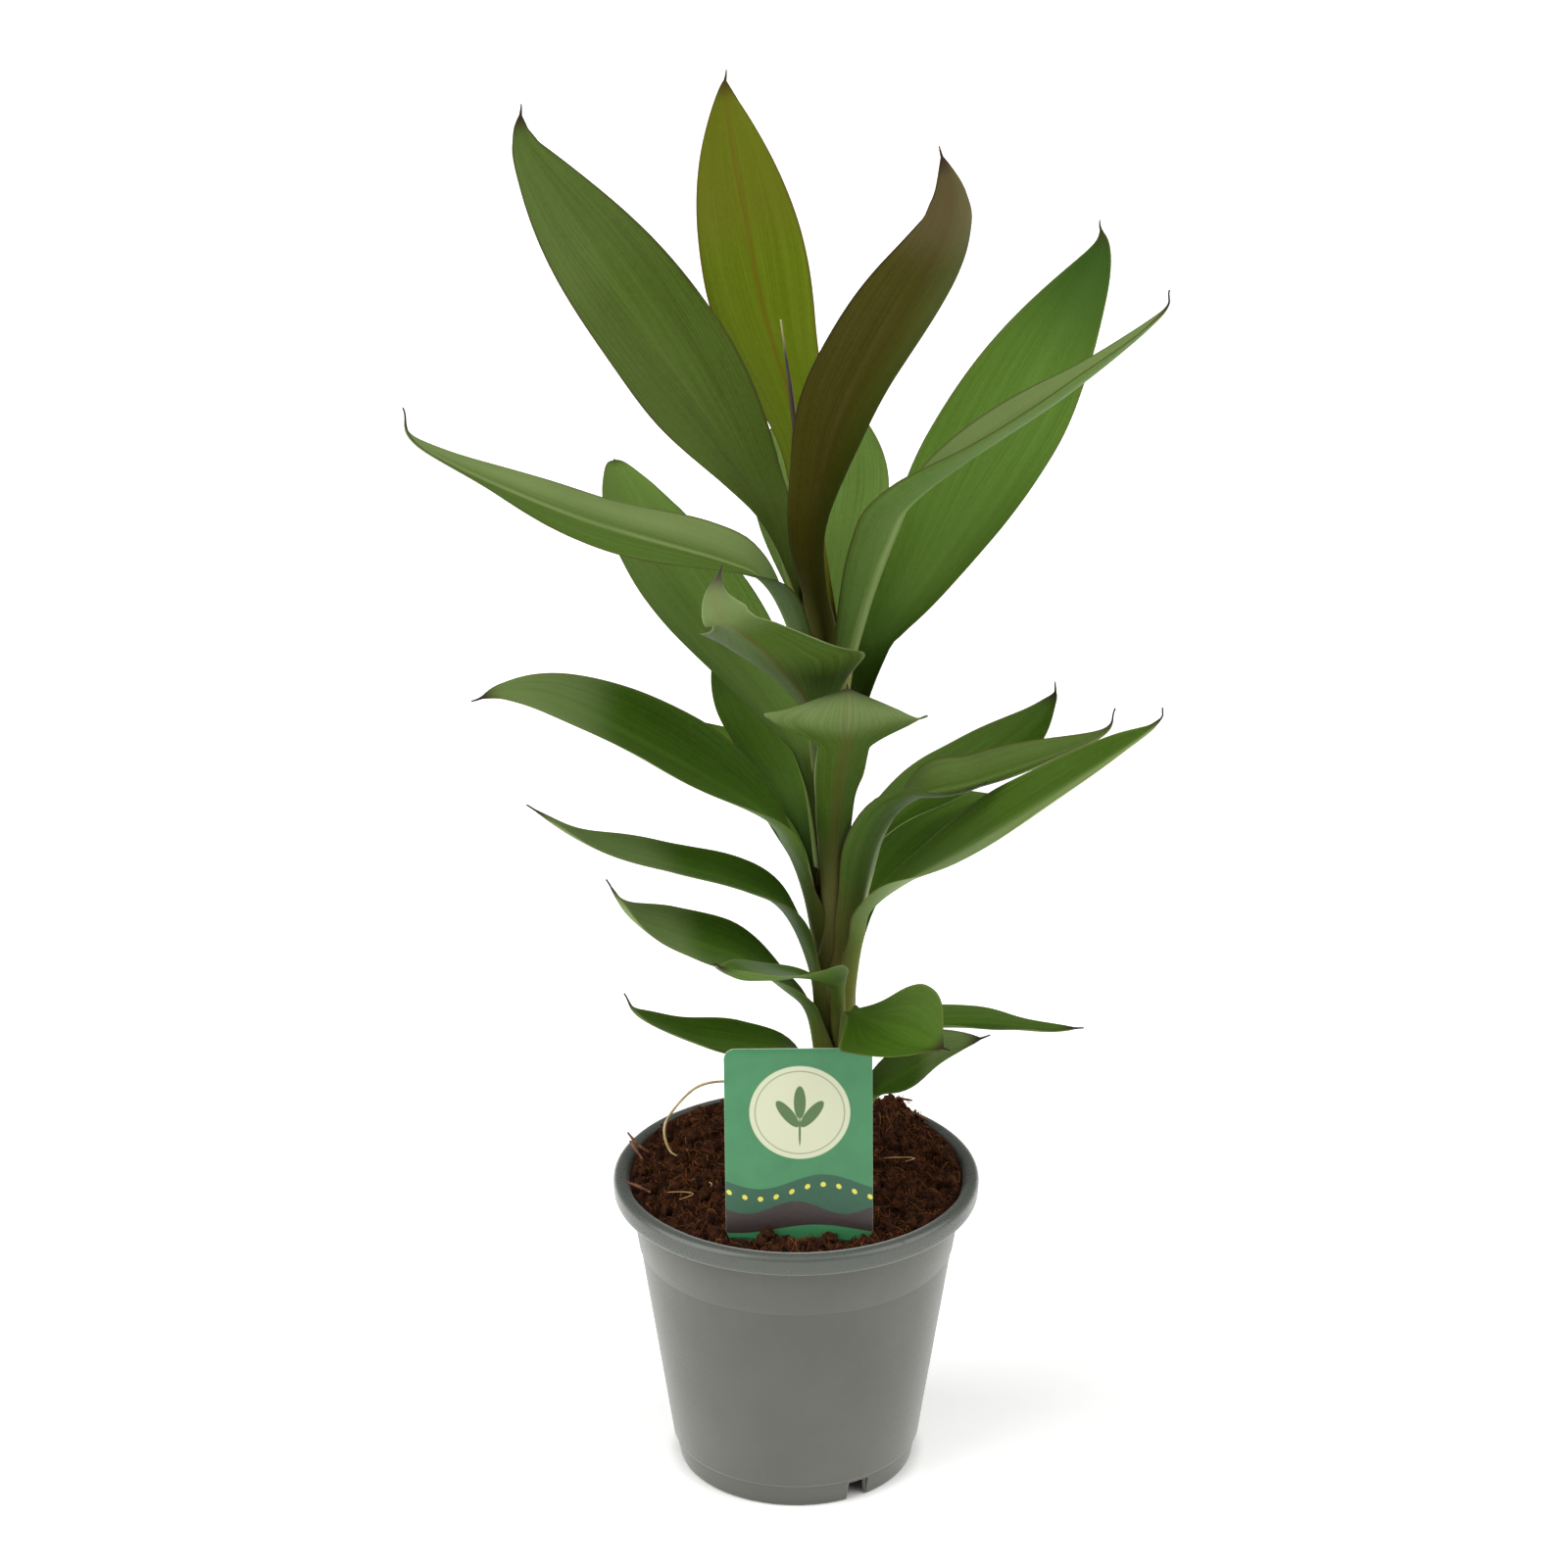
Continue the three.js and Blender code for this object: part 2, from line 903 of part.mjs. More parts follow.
function soilSolid() {
  const floor = POT.floorHeight + POT.wall + GAP;
  const floorRadius = POT.heelRadius - POT.wall - POT.edge - GAP;
  const top = SOIL.brim - SOIL.dome;
  const brimRadius = wallRadius(top) - POT.wall - GAP;
  const profile = [
    [0, floor],
    [floorRadius, floor],
    [brimRadius, top],
  ];
  for (let ring = SOIL.rings; ring >= 0; ring -= 1) {
    profile.push([(brimRadius * ring) / SOIL.rings, SOIL.brim]);
  }
  const geometry = turned(profile, SOIL.sides);
  const position = geometry.getAttribute("position");
  for (let index = 0; index < position.count; index += 1) {
    if (position.getZ(index) < SOIL.brim - CLOSE) continue;
    position.setZ(index, soilHeight(position.getX(index), position.getY(index)));
  }
  return toSolid(geometry).subtract(caneHole()).subtract(labelSlot());
}

function caneHole() {
  const [x, y, foot] = CANE.route[0];
  const depth = POT.height + SOIL.headroom - foot;
  const radius = CANE.footRadius + GAP;
  const hole = new THREE.CylinderGeometry(radius, radius, depth, SOIL.holeSides);
  hole.rotateX(Math.PI / 2).translate(x, y, foot - GAP + depth / 2);
  return toSolid(hole);
}

// The label's face as a flat outline: rounded head, rounded shoulders and a tongue below.
function labelOutline(grow) {
  const { width, height, topCorner, footCorner, tongueWidth, tongueLength } = LABEL;
  const half = width / 2 + grow;
  const tongue = tongueWidth / 2 + grow;
  const outline = new THREE.Shape();
  outline.moveTo(-tongue, -tongueLength - grow);
  outline.lineTo(tongue, -tongueLength - grow);
  outline.lineTo(tongue, -grow);
  outline.lineTo(half - footCorner, -grow);
  outline.absarc(half - footCorner, footCorner - grow, footCorner, -Math.PI / 2, 0);
  outline.lineTo(half, height - topCorner + grow);
  outline.absarc(half - topCorner, height - topCorner + grow, topCorner, 0, Math.PI / 2);
  outline.lineTo(topCorner - half, height + grow);
  outline.absarc(topCorner - half, height - topCorner + grow, topCorner, Math.PI / 2, Math.PI);
  outline.lineTo(-half, footCorner - grow);
  outline.absarc(footCorner - half, footCorner - grow, footCorner, Math.PI, 1.5 * Math.PI);
  outline.lineTo(-tongue, -grow);
  return outline;
}

function labelGeometry(grow) {
  const depth = LABEL.thickness + 2 * grow;
  const cut = { depth, bevelEnabled: false, curveSegments: LABEL.cornerCells };
  const plate = new THREE.ExtrudeGeometry(labelOutline(grow), cut);
  plate.translate(0, 0, -depth / 2);
  plate.rotateX(Math.PI / 2 - radians(LABEL.tiltBack));
  plate.rotateY(radians(LABEL.swing));
  return plate.translate(...LABEL.foot);
}

function labelSlot() {
  return toSolid(labelGeometry(GAP));
}

function piece(name, geometry, color, roughness) {
  const material = new THREE.MeshStandardMaterial({ color, roughness, metalness: 0 });
  const mesh = new THREE.Mesh(geometry, material);
  mesh.name = name;
  return mesh;
}

function caneGeometry() {
  const path = curveThrough(CANE.route);
  return rodGeometry(path, (share, height) => caneRadius(height), CANE.steps, CANE.sides);
}

function spearGeometry() {
  return rodGeometry(curveThrough(SPEAR.route), spearRadius, SPEAR.steps, SPEAR.sides);
}

function fibreGeometry() {
  return rodGeometry(curveThrough(FIBRE.route), () => FIBRE.radius, FIBRE.steps, FIBRE.sides);
}

const plant = new THREE.Group();
plant.add(piece("pot", toGeometry(potSolid()), COLOUR.pot, GLOSS.satin));
plant.add(piece("soil", toGeometry(soilSolid()), COLOUR.soil, GLOSS.dull));
plant.add(piece("cane", caneGeometry(), COLOUR.cane, GLOSS.dull));
for (const leaf of LEAVES) plant.add(piece(leaf.name, leafGeometry(leaf), leaf.tone, GLOSS.satin));
plant.add(piece("leaf_spear", spearGeometry(), GREEN.bronze, GLOSS.satin));
plant.add(piece("label", labelGeometry(0), COLOUR.label, GLOSS.smooth));
plant.add(piece("root_fibre", fibreGeometry(), COLOUR.fibre, GLOSS.dull));

export default plant;
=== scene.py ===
"""A ti plant in its nursery pot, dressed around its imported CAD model.

Lengths are written in millimetres and turned into metres by MM. The front of the plant faces -Y.
"""

from __future__ import annotations

import logging
import math
import random
from bisect import bisect_right
from dataclasses import dataclass, field, replace
from enum import Enum
from itertools import accumulate, pairwise
from typing import Callable, Iterable, Mapping, Sequence

import bmesh
import bpy
from mathutils import Euler, Matrix, Vector, noise

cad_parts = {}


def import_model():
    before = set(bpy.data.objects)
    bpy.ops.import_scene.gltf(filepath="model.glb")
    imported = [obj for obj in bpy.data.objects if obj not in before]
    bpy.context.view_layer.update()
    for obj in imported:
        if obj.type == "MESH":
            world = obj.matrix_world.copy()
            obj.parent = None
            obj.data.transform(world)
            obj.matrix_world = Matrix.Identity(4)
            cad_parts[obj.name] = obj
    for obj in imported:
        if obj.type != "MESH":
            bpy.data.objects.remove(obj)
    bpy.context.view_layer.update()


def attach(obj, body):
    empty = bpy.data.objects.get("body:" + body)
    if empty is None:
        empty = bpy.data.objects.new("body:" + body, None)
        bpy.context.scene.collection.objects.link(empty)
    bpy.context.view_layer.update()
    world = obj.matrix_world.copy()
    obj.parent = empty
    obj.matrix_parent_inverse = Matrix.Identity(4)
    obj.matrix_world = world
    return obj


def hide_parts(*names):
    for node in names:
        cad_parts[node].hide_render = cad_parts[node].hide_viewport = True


LOG = logging.getLogger("ti_plant")
MM = 0.001
ROOT = "root"

Colour = tuple[float, float, float, float]
Spot = tuple[float, float, float]
Socket = bpy.types.NodeSocket
Feed = Socket | float | Sequence[float]
Outputs = Mapping[str, Socket]


def tone(code: str) -> Colour:
    """Turns a screen colour such as "80a050" into linear light.

    Args:
        code: Six hexadecimal digits.

    Returns:
        Red, green, blue and full alpha.
    """

    def light(level: float) -> float:
        """Returns one channel's linear light."""
        return level / 12.92 if level <= 0.04045 else ((level + 0.055) / 1.055) ** 2.4

    red, green, blue = (light(int(code[at : at + 2], 16) / 255) for at in (0, 2, 4))
    return (red, green, blue, 1.0)


def mixed(first: float, second: float, share: float) -> float:
    """Returns the value at a share of the way from first to second."""
    return first + (second - first) * share


def eased(value: float, low: float = 0.0, high: float = 1.0) -> float:
    """Returns 0 below low, 1 above high, and a smooth step between them."""
    share = min(max((value - low) / (high - low), 0.0), 1.0)
    return share * share * (3 - 2 * share)


def along(settings: Sequence[float], share: float) -> float:
    """Returns the value at a share of the way along evenly spaced settings, eased between them."""
    reach = share * (len(settings) - 1)
    cell = min(int(reach), len(settings) - 2)
    return mixed(settings[cell], settings[cell + 1], eased(reach - cell))


class Route:
    """A smooth curve through points, measured by its own length."""

    CELLS = 40
    NUDGE = 1e-4

    def __init__(self, points: Sequence[Sequence[float]]) -> None:
        """Measures the curve through points in millimetres."""
        self.points = [Vector(point) for point in points]
        steps = self.CELLS * (len(points) - 1)
        self.turns = [step / steps for step in range(steps + 1)]
        spots = [self._spot(turn) for turn in self.turns]
        strides = [(after - before).length for before, after in pairwise(spots)]
        self.reached = list(accumulate(strides, initial=0.0))
        self.length = self.reached[-1]

    def _spot(self, turn: float) -> Vector:
        """Returns the point at a share of the way from the first stop to the last."""
        stops = self.points
        reach = turn * (len(stops) - 1)
        cell = min(int(reach), len(stops) - 2)
        here, there = stops[cell], stops[cell + 1]
        before = stops[cell - 1] if cell else here * 2 - there
        after = stops[cell + 2] if cell + 2 < len(stops) else there * 2 - here
        part = reach - cell
        out, into = (there - before) / 2, (after - here) / 2
        bend = (here - there) * 2 + out + into
        lean = (there - here) * 3 - out * 2 - into
        return here + out * part + lean * part**2 + bend * part**3

    def _turn(self, share: float) -> float:
        """Returns the curve's own setting at a share of its length."""
        wanted = min(max(share, 0.0), 1.0) * self.length
        high = bisect_right(self.reached, wanted, 1, len(self.reached) - 1)
        low = high - 1
        gap = self.reached[high] - self.reached[low]
        part = (wanted - self.reached[low]) / gap if gap else 0.0
        return mixed(self.turns[low], self.turns[high], part)

    def at(self, share: float) -> Vector:
        """Returns the point at a share of the length, in millimetres."""
        return self._spot(self._turn(share))

    def run(self, share: float) -> Vector:
        """Returns the unit direction at a share of the length."""
        turn = self._turn(share)
        after, before = min(turn + self.NUDGE, 1.0), max(turn - self.NUDGE, 0.0)
        return (self._spot(after) - self._spot(before)).normalized()


class Bench:
    """A node tree being wired, with short calls for the nodes that the finishes use."""

    # A Mix node's colour sockets, by their place among its inputs and outputs.
    MIX_SHARE, MIX_FIRST, MIX_SECOND, MIX_RESULT = 0, 6, 7, 2

    def __init__(self, tree: bpy.types.NodeTree) -> None:
        """Keeps the tree that the calls add to."""
        self.tree = tree

    def feed(self, node: bpy.types.Node, feeds: Mapping[str | int, Feed]) -> None:
        """Links a socket to each input given, or sets its plain value."""
        for name, value in feeds.items():
            if isinstance(value, bpy.types.NodeSocket):
                self.tree.links.new(value, node.inputs[name])
            else:
                node.inputs[name].default_value = value

    def node(self, kind: str, feeds: Mapping[str | int, Feed], **settings: object) -> bpy.types.Node:
        """Adds a node of a kind, makes its settings and feeds its inputs."""
        made = self.tree.nodes.new(kind)
        for name, value in settings.items():
            setattr(made, name, value)
        self.feed(made, feeds)
        return made

    def math(self, operation: str, *values: Feed) -> Socket:
        """Returns the result of one operation on its values."""
        return self.node("ShaderNodeMath", dict(enumerate(values)), operation=operation).outputs[0]

    def plus(self, first: Feed, second: Feed) -> Socket:
        """Returns the sum of two values."""
        return self.math("ADD", first, second)

    def times(self, first: Feed, second: Feed) -> Socket:
        """Returns the product of two values."""
        return self.math("MULTIPLY", first, second)

    def mix(self, share: Feed, first: Feed, second: Feed) -> Socket:
        """Returns a colour between two others."""
        feeds = {self.MIX_SHARE: share, self.MIX_FIRST: first, self.MIX_SECOND: second}
        made = self.node("ShaderNodeMix", feeds, data_type="RGBA", clamp_factor=True)
        return made.outputs[self.MIX_RESULT]

    def coats(self, body: Feed, *coats: tuple[Feed, str]) -> Socket:
        """Lays further tones over a colour, one after another.

        Args:
            body: The colour below.
            coats: How much of it each coat covers, and the coat's tone.

        Returns:
            The colour on top.
        """
        for share, code in coats:
            body = self.mix(share, body, tone(code))
        return body

    def band(self, value: Feed, low: float, high: float, start: float = 0.0, end: float = 1.0) -> Socket:
        """Returns start where the value is at low and end where it is at high, smoothly between."""
        feeds = {"Value": value, "From Min": low, "From Max": high, "To Min": start, "To Max": end}
        return self.node("ShaderNodeMapRange", feeds, interpolation_type="SMOOTHSTEP").outputs["Result"]

    def noise(self, place: Feed, scale: Feed, detail: float, roughness: float) -> Socket:
        """Returns soft noise from 0 to 1 at a place."""
        feeds = {"Vector": place, "Scale": scale, "Detail": detail, "Roughness": roughness}
        return self.node("ShaderNodeTexNoise", feeds, noise_dimensions="3D").outputs["Fac"]

    def attribute(self, name: str) -> Socket:
        """Returns a value that the mesh holds for each of its points."""
        return self.node("ShaderNodeAttribute", {}, attribute_name=name).outputs["Fac"]

    def place(self) -> Socket:
        """Returns the point's own coordinates in metres."""
        return self.node("ShaderNodeTexCoord", {}).outputs["Object"]

    def stretched(self, place: Feed, stretch: Sequence[float], shift: Sequence[float] = (0, 0, 0)) -> Socket:
        """Returns a place stretched by a factor on each axis, then moved."""
        feeds = {"Vector": place, "Location": shift, "Scale": stretch}
        return self.node("ShaderNodeMapping", feeds).outputs["Vector"]

    def joined(self, x: Feed, y: Feed, z: Feed) -> Socket:
        """Returns a vector made of three values."""
        return self.node("ShaderNodeCombineXYZ", {0: x, 1: y, 2: z}).outputs[0]

    def parts(self, place: Feed) -> tuple[Socket, Socket, Socket]:
        """Returns a vector's three values."""
        return tuple(self.node("ShaderNodeSeparateXYZ", {0: place}).outputs)

    def length(self, place: Feed) -> Socket:
        """Returns a vector's length."""
        return self.node("ShaderNodeVectorMath", {0: place}, operation="LENGTH").outputs["Value"]

    def bump(self, height: Feed, depth: float, strength: float) -> Socket:
        """Returns normals tilted by a height map of a depth in millimetres."""
        feeds = {"Height": height, "Distance": depth * MM, "Strength": strength}
        return self.node("ShaderNodeBump", feeds).outputs["Normal"]

    def group(self, tree: bpy.types.NodeTree, **feeds: Feed) -> Outputs:
        """Places a shared group, feeds its named inputs and returns its outputs."""
        return self.node("ShaderNodeGroup", feeds, node_tree=tree).outputs


class Surface(Bench):
    """A material's node tree, around its Principled shader."""

    def __init__(self, name: str) -> None:
        """Starts the material."""
        self.material = bpy.data.materials.new(name)
        self.material.use_nodes = True
        super().__init__(self.material.node_tree)

    def dressed(self, looks: Mapping[str, Feed]) -> bpy.types.Material:
        """Feeds the shader and returns the finished material."""
        self.feed(next(node for node in self.tree.nodes if node.type == "BSDF_PRINCIPLED"), looks)
        return self.material


def shared_group(
    name: str, inputs: Sequence[str], outputs: Sequence[str], wire: Callable[..., Sequence[Socket]]
) -> bpy.types.NodeTree:
    """Builds a shader group of float inputs and outputs.

    Args:
        name: The group's name.
        inputs: Names of its inputs, where "Place" is a vector.
        outputs: Names of its outputs.
        wire: Wires the nodes between, from a bench and the input sockets to the output values.

    Returns:
        The group.
    """
    tree = bpy.data.node_groups.new(name, "ShaderNodeTree")
    for way, labels in (("INPUT", inputs), ("OUTPUT", outputs)):
        for label in labels:
            kind = "NodeSocketVector" if label == "Place" else "NodeSocketFloat"
            tree.interface.new_socket(name=label, in_out=way, socket_type=kind)
    bench = Bench(tree)
    given = bench.node("NodeGroupInput", {}).outputs
    made = wire(bench, *(given[label] for label in inputs))
    bench.node("NodeGroupOutput", dict(zip(outputs, made)))
    return tree


class Effects:
    """The shader groups that more than one finish uses."""

    # How many veins there are, then their noise's detail and roughness.
    BROAD_VEINS = (7.0, 3.0, 0.6)
    FINE_VEINS = (46.0, 2.0, 0.65)
    SIDE_SHIFT = 3.7
    VEIN_DRIFT = 2.4
    # Each noise's detail and roughness.
    CLOUDY = (3.0, 0.55)
    SPECKLED = (2.0, 0.6)
    BROAD_RELIEF = 0.5
    CLOUDY_RELIEF = 0.4

    def __init__(self) -> None:
        """Builds each group once."""
        self.veins = shared_group(
            "leaf_veins", ("Reach", "Share", "Fan", "Seed"), ("Broad", "Fine", "Height"), self._veins
        )
        self.grain = shared_group(
            "surface_grain", ("Place", "Cloud", "Speck"), ("Cloudy", "Speckled", "Height"), self._grain
        )

    def _veins(self, bench: Bench, reach: Socket, share: Socket, fan: Socket, seed: Socket) -> list[Socket]:
        """Wires the fine lengthwise veins that fan out from a leaf's midrib."""
        line = bench.math("SUBTRACT", bench.math("ABSOLUTE", reach), bench.times(share, fan))
        shift = bench.plus(bench.times(bench.math("SIGN", reach), self.SIDE_SHIFT), seed)
        drift = bench.times(share, self.VEIN_DRIFT)
        broad, fine = (
            bench.noise(bench.joined(bench.times(line, count), drift, shift), 1.0, detail, roughness)
            for count, detail, roughness in (self.BROAD_VEINS, self.FINE_VEINS)
        )
        return [broad, fine, bench.plus(bench.times(broad, self.BROAD_RELIEF), fine)]

    def _grain(self, bench: Bench, place: Socket, cloud: Socket, speck: Socket) -> list[Socket]:
        """Wires the cloudy and the fine unevenness of a surface."""
        cloudy = bench.noise(place, cloud, *self.CLOUDY)
        speckled = bench.noise(place, speck, *self.SPECKLED)
        return [cloudy, speckled, bench.plus(bench.times(cloudy, self.CLOUDY_RELIEF), speckled)]


class Finish:
    """What all finishes share: a name, a grain and a shader to feed."""

    name: str
    cloud: float
    speck: float

    def build(self, effects: Effects) -> bpy.types.Material:
        """Builds the material on the shared shader groups."""
        bench = Surface(self.name)
        grain = bench.group(effects.grain, Place=bench.place(), Cloud=self.cloud, Speck=self.speck)
        return bench.dressed(self.looks(bench, grain, effects))

    def looks(self, bench: Bench, grain: Outputs, effects: Effects) -> dict[str, Feed]:
        """Wires the finish's own nodes.

        Args:
            bench: The material's bench.
            grain: What the placed grain group puts out.
            effects: The shared shader groups.

        Returns:
            What each of the shader's inputs is fed.
        """
        raise NotImplementedError


@dataclass(frozen=True)
class Shade(Finish):
    """A finish of two mixed tones with a fine grain."""

    name: str
    dark: str
    light: str
    roughness: float
    cloud: float
    speck: float
    relief: float
    gloss: float = 0.5

    CLOUD_SHARE = 0.6
    BLEND = (0.36, 0.64)
    BUMP_STRENGTH = 0.7

    def looks(self, bench: Bench, grain: Outputs, effects: Effects) -> dict[str, Feed]:
        """Wires the two tones."""
        clouds = bench.times(grain["Cloudy"], self.CLOUD_SHARE)
        share = bench.plus(clouds, bench.times(grain["Speckled"], 1 - self.CLOUD_SHARE))
        return {
            "Base Color": bench.coats(tone(self.dark), (bench.band(share, *self.BLEND), self.light)),
            "Roughness": self.roughness,
            "Specular IOR Level": self.gloss,
            "Normal": bench.bump(grain["Height"], self.relief, self.BUMP_STRENGTH),
        }


@dataclass(frozen=True)
class LeafFinish(Finish):
    """A leaf's colours, from its midrib to its margin and from its foot to its tip, with painted sheen and
    painted shade laid over them.
    """

    name: str
    upper: tuple[str, str]
    under: tuple[str, str]
    rib: str
    edge: str
    # The stalk's tone. On PALE and KEELED_LOW it is lightened past the stalk's own colour as painted light
    # on the shaded stem base; on PALE_HIGH it is dark green as painted shade.
    foot: str
    tip: str
    # Painted sheen: a pale grey-green tone laid over the blade between two reaches across it, standing for
    # light glancing off that side.
    sheen_wash: str
    sheen_wash_share: float = 0.0
    # A pale waxy bloom towards the tip, which also stands as painted sheen and painted reflection where the
    # blade catches the light.
    bloom_and_sheen: str = "8c9a68"
    bloom_and_sheen_share: float = 0.0
    bloom_and_sheen_from: float = 0.66
    shadow_tone: str = "2b4610"
    # The stalk's margin: a dry brown by default, and on PALE, PALE_HIGH and HAZY a dark tone that is painted
    # shade.
    dry_and_shaded_edge: str = "7a5a44"
    sheen_wash_from: float = -0.15
    sheen_wash_to: float = 0.7
    # How much painted shade the shadow tone lays near the foot and near the tip.
    ends: float = 0.0
    rib_share: float = 0.5
    rib_reach: float = 2.6
    roughness: float = 0.46
    gloss: float = 0.05
    fan: float = 0.5
    seed: float = 0.0
    cloud: float = 26.0
    speck: float = 700.0

    # Where each effect starts and ends, then how strong it is there, as a band takes them.
    BROAD_SHARE = 0.45
    SPECK_SHARE = 0.35
    STREAKS = (0.5, 1.3)
    RIB_EDGE = 0.2
    KEEL = (3.0, 0.5)
    KEEL_SHARE = 0.8
    PAST_FOOT = (0.1, 0.4)
    NEAR_FOOT = (0.42, 0.16)
    NEAR_TIP = (0.7, 0.97)
    BLOOM_AND_SHEEN_FADE = 0.12
    BLOOM_AND_SHEEN_LINES = (0.3, 0.7, 0.7, 1.0)
    CLOUDS = (0.35, 0.7, 0.0, 0.22)
    DRY_AND_SHADED_EDGE_SHARE = 0.8
    VEIN_ROUGHNESS = 0.12
    RELIEF = (0.16, 0.8)

    def looks(self, bench: Bench, grain: Outputs, effects: Effects) -> dict[str, Feed]:
        """Wires the veined faces, what lies over them, and the margin, foot and tip; the stalk's margin is
        dry on most leaves and painted shade on a few.
        """
        reach, across, share, fringe, stalk = map(
            bench.attribute, ("reach", "across", "share", "fringe", "stalk")
        )
        veins = bench.group(effects.veins, Reach=reach, Share=share, Fan=self.fan, Seed=self.seed)
        streak = bench.plus(bench.times(veins["Broad"], self.BROAD_SHARE), veins["Fine"])
        streak = bench.plus(streak, bench.times(grain["Speckled"], self.SPECK_SHARE))
        streak = bench.band(streak, *self.STREAKS)
        rib = bench.band(across, self.rib_reach, self.RIB_EDGE, 0.0, self.rib_share)
        keel = bench.band(across, *self.KEEL, 0.0, self.rib_share * self.KEEL_SHARE)
        upper, under = (
            bench.coats(tone(tones[0]), (streak, tones[1]), (line, self.rib))
            for tones, line in ((self.upper, rib), (self.under, keel))
        )
        # Painted sheen over one side of the blade, faded in past the foot.
        sheen_side = bench.band(reach, self.sheen_wash_from, self.sheen_wash_to, 0.0, self.sheen_wash_share)
        # Painted shade: darker towards both ends of the blade, in the shadow tone.
        shaded_ends = bench.plus(bench.band(share, *self.NEAR_FOOT), bench.band(share, *self.NEAR_TIP))
        # Pale bloom and painted sheen towards the tip, along the fine veins.
        bloom_and_sheen = bench.band(share, self.bloom_and_sheen_from, self.bloom_and_sheen_from + self.BLOOM_AND_SHEEN_FADE, 0.0, self.bloom_and_sheen_share)
        bloom_and_sheen = bench.times(bloom_and_sheen, bench.band(veins["Fine"], *self.BLOOM_AND_SHEEN_LINES))
        body = bench.coats(
            bench.mix(bench.attribute("under"), upper, under),
            (bench.times(sheen_side, bench.band(share, *self.PAST_FOOT)), self.sheen_wash),
            (bench.times(shaded_ends, self.ends), self.shadow_tone),
            (bloom_and_sheen, self.bloom_and_sheen),
            (bench.band(grain["Cloudy"], *self.CLOUDS), self.under[0]),
            (fringe, self.edge),
            (stalk, self.foot),
            (bench.times(bench.times(fringe, stalk), self.DRY_AND_SHADED_EDGE_SHARE), self.dry_and_shaded_edge),
            (bench.attribute("tip"), self.tip),
        )
        smoothest = self.roughness - self.VEIN_ROUGHNESS / 2
        return {
            "Base Color": body,
            "Roughness": bench.math("MULTIPLY_ADD", veins["Fine"], self.VEIN_ROUGHNESS, smoothest),
            "Specular IOR Level": self.gloss,
            "Normal": bench.bump(veins["Height"], *self.RELIEF),
        }


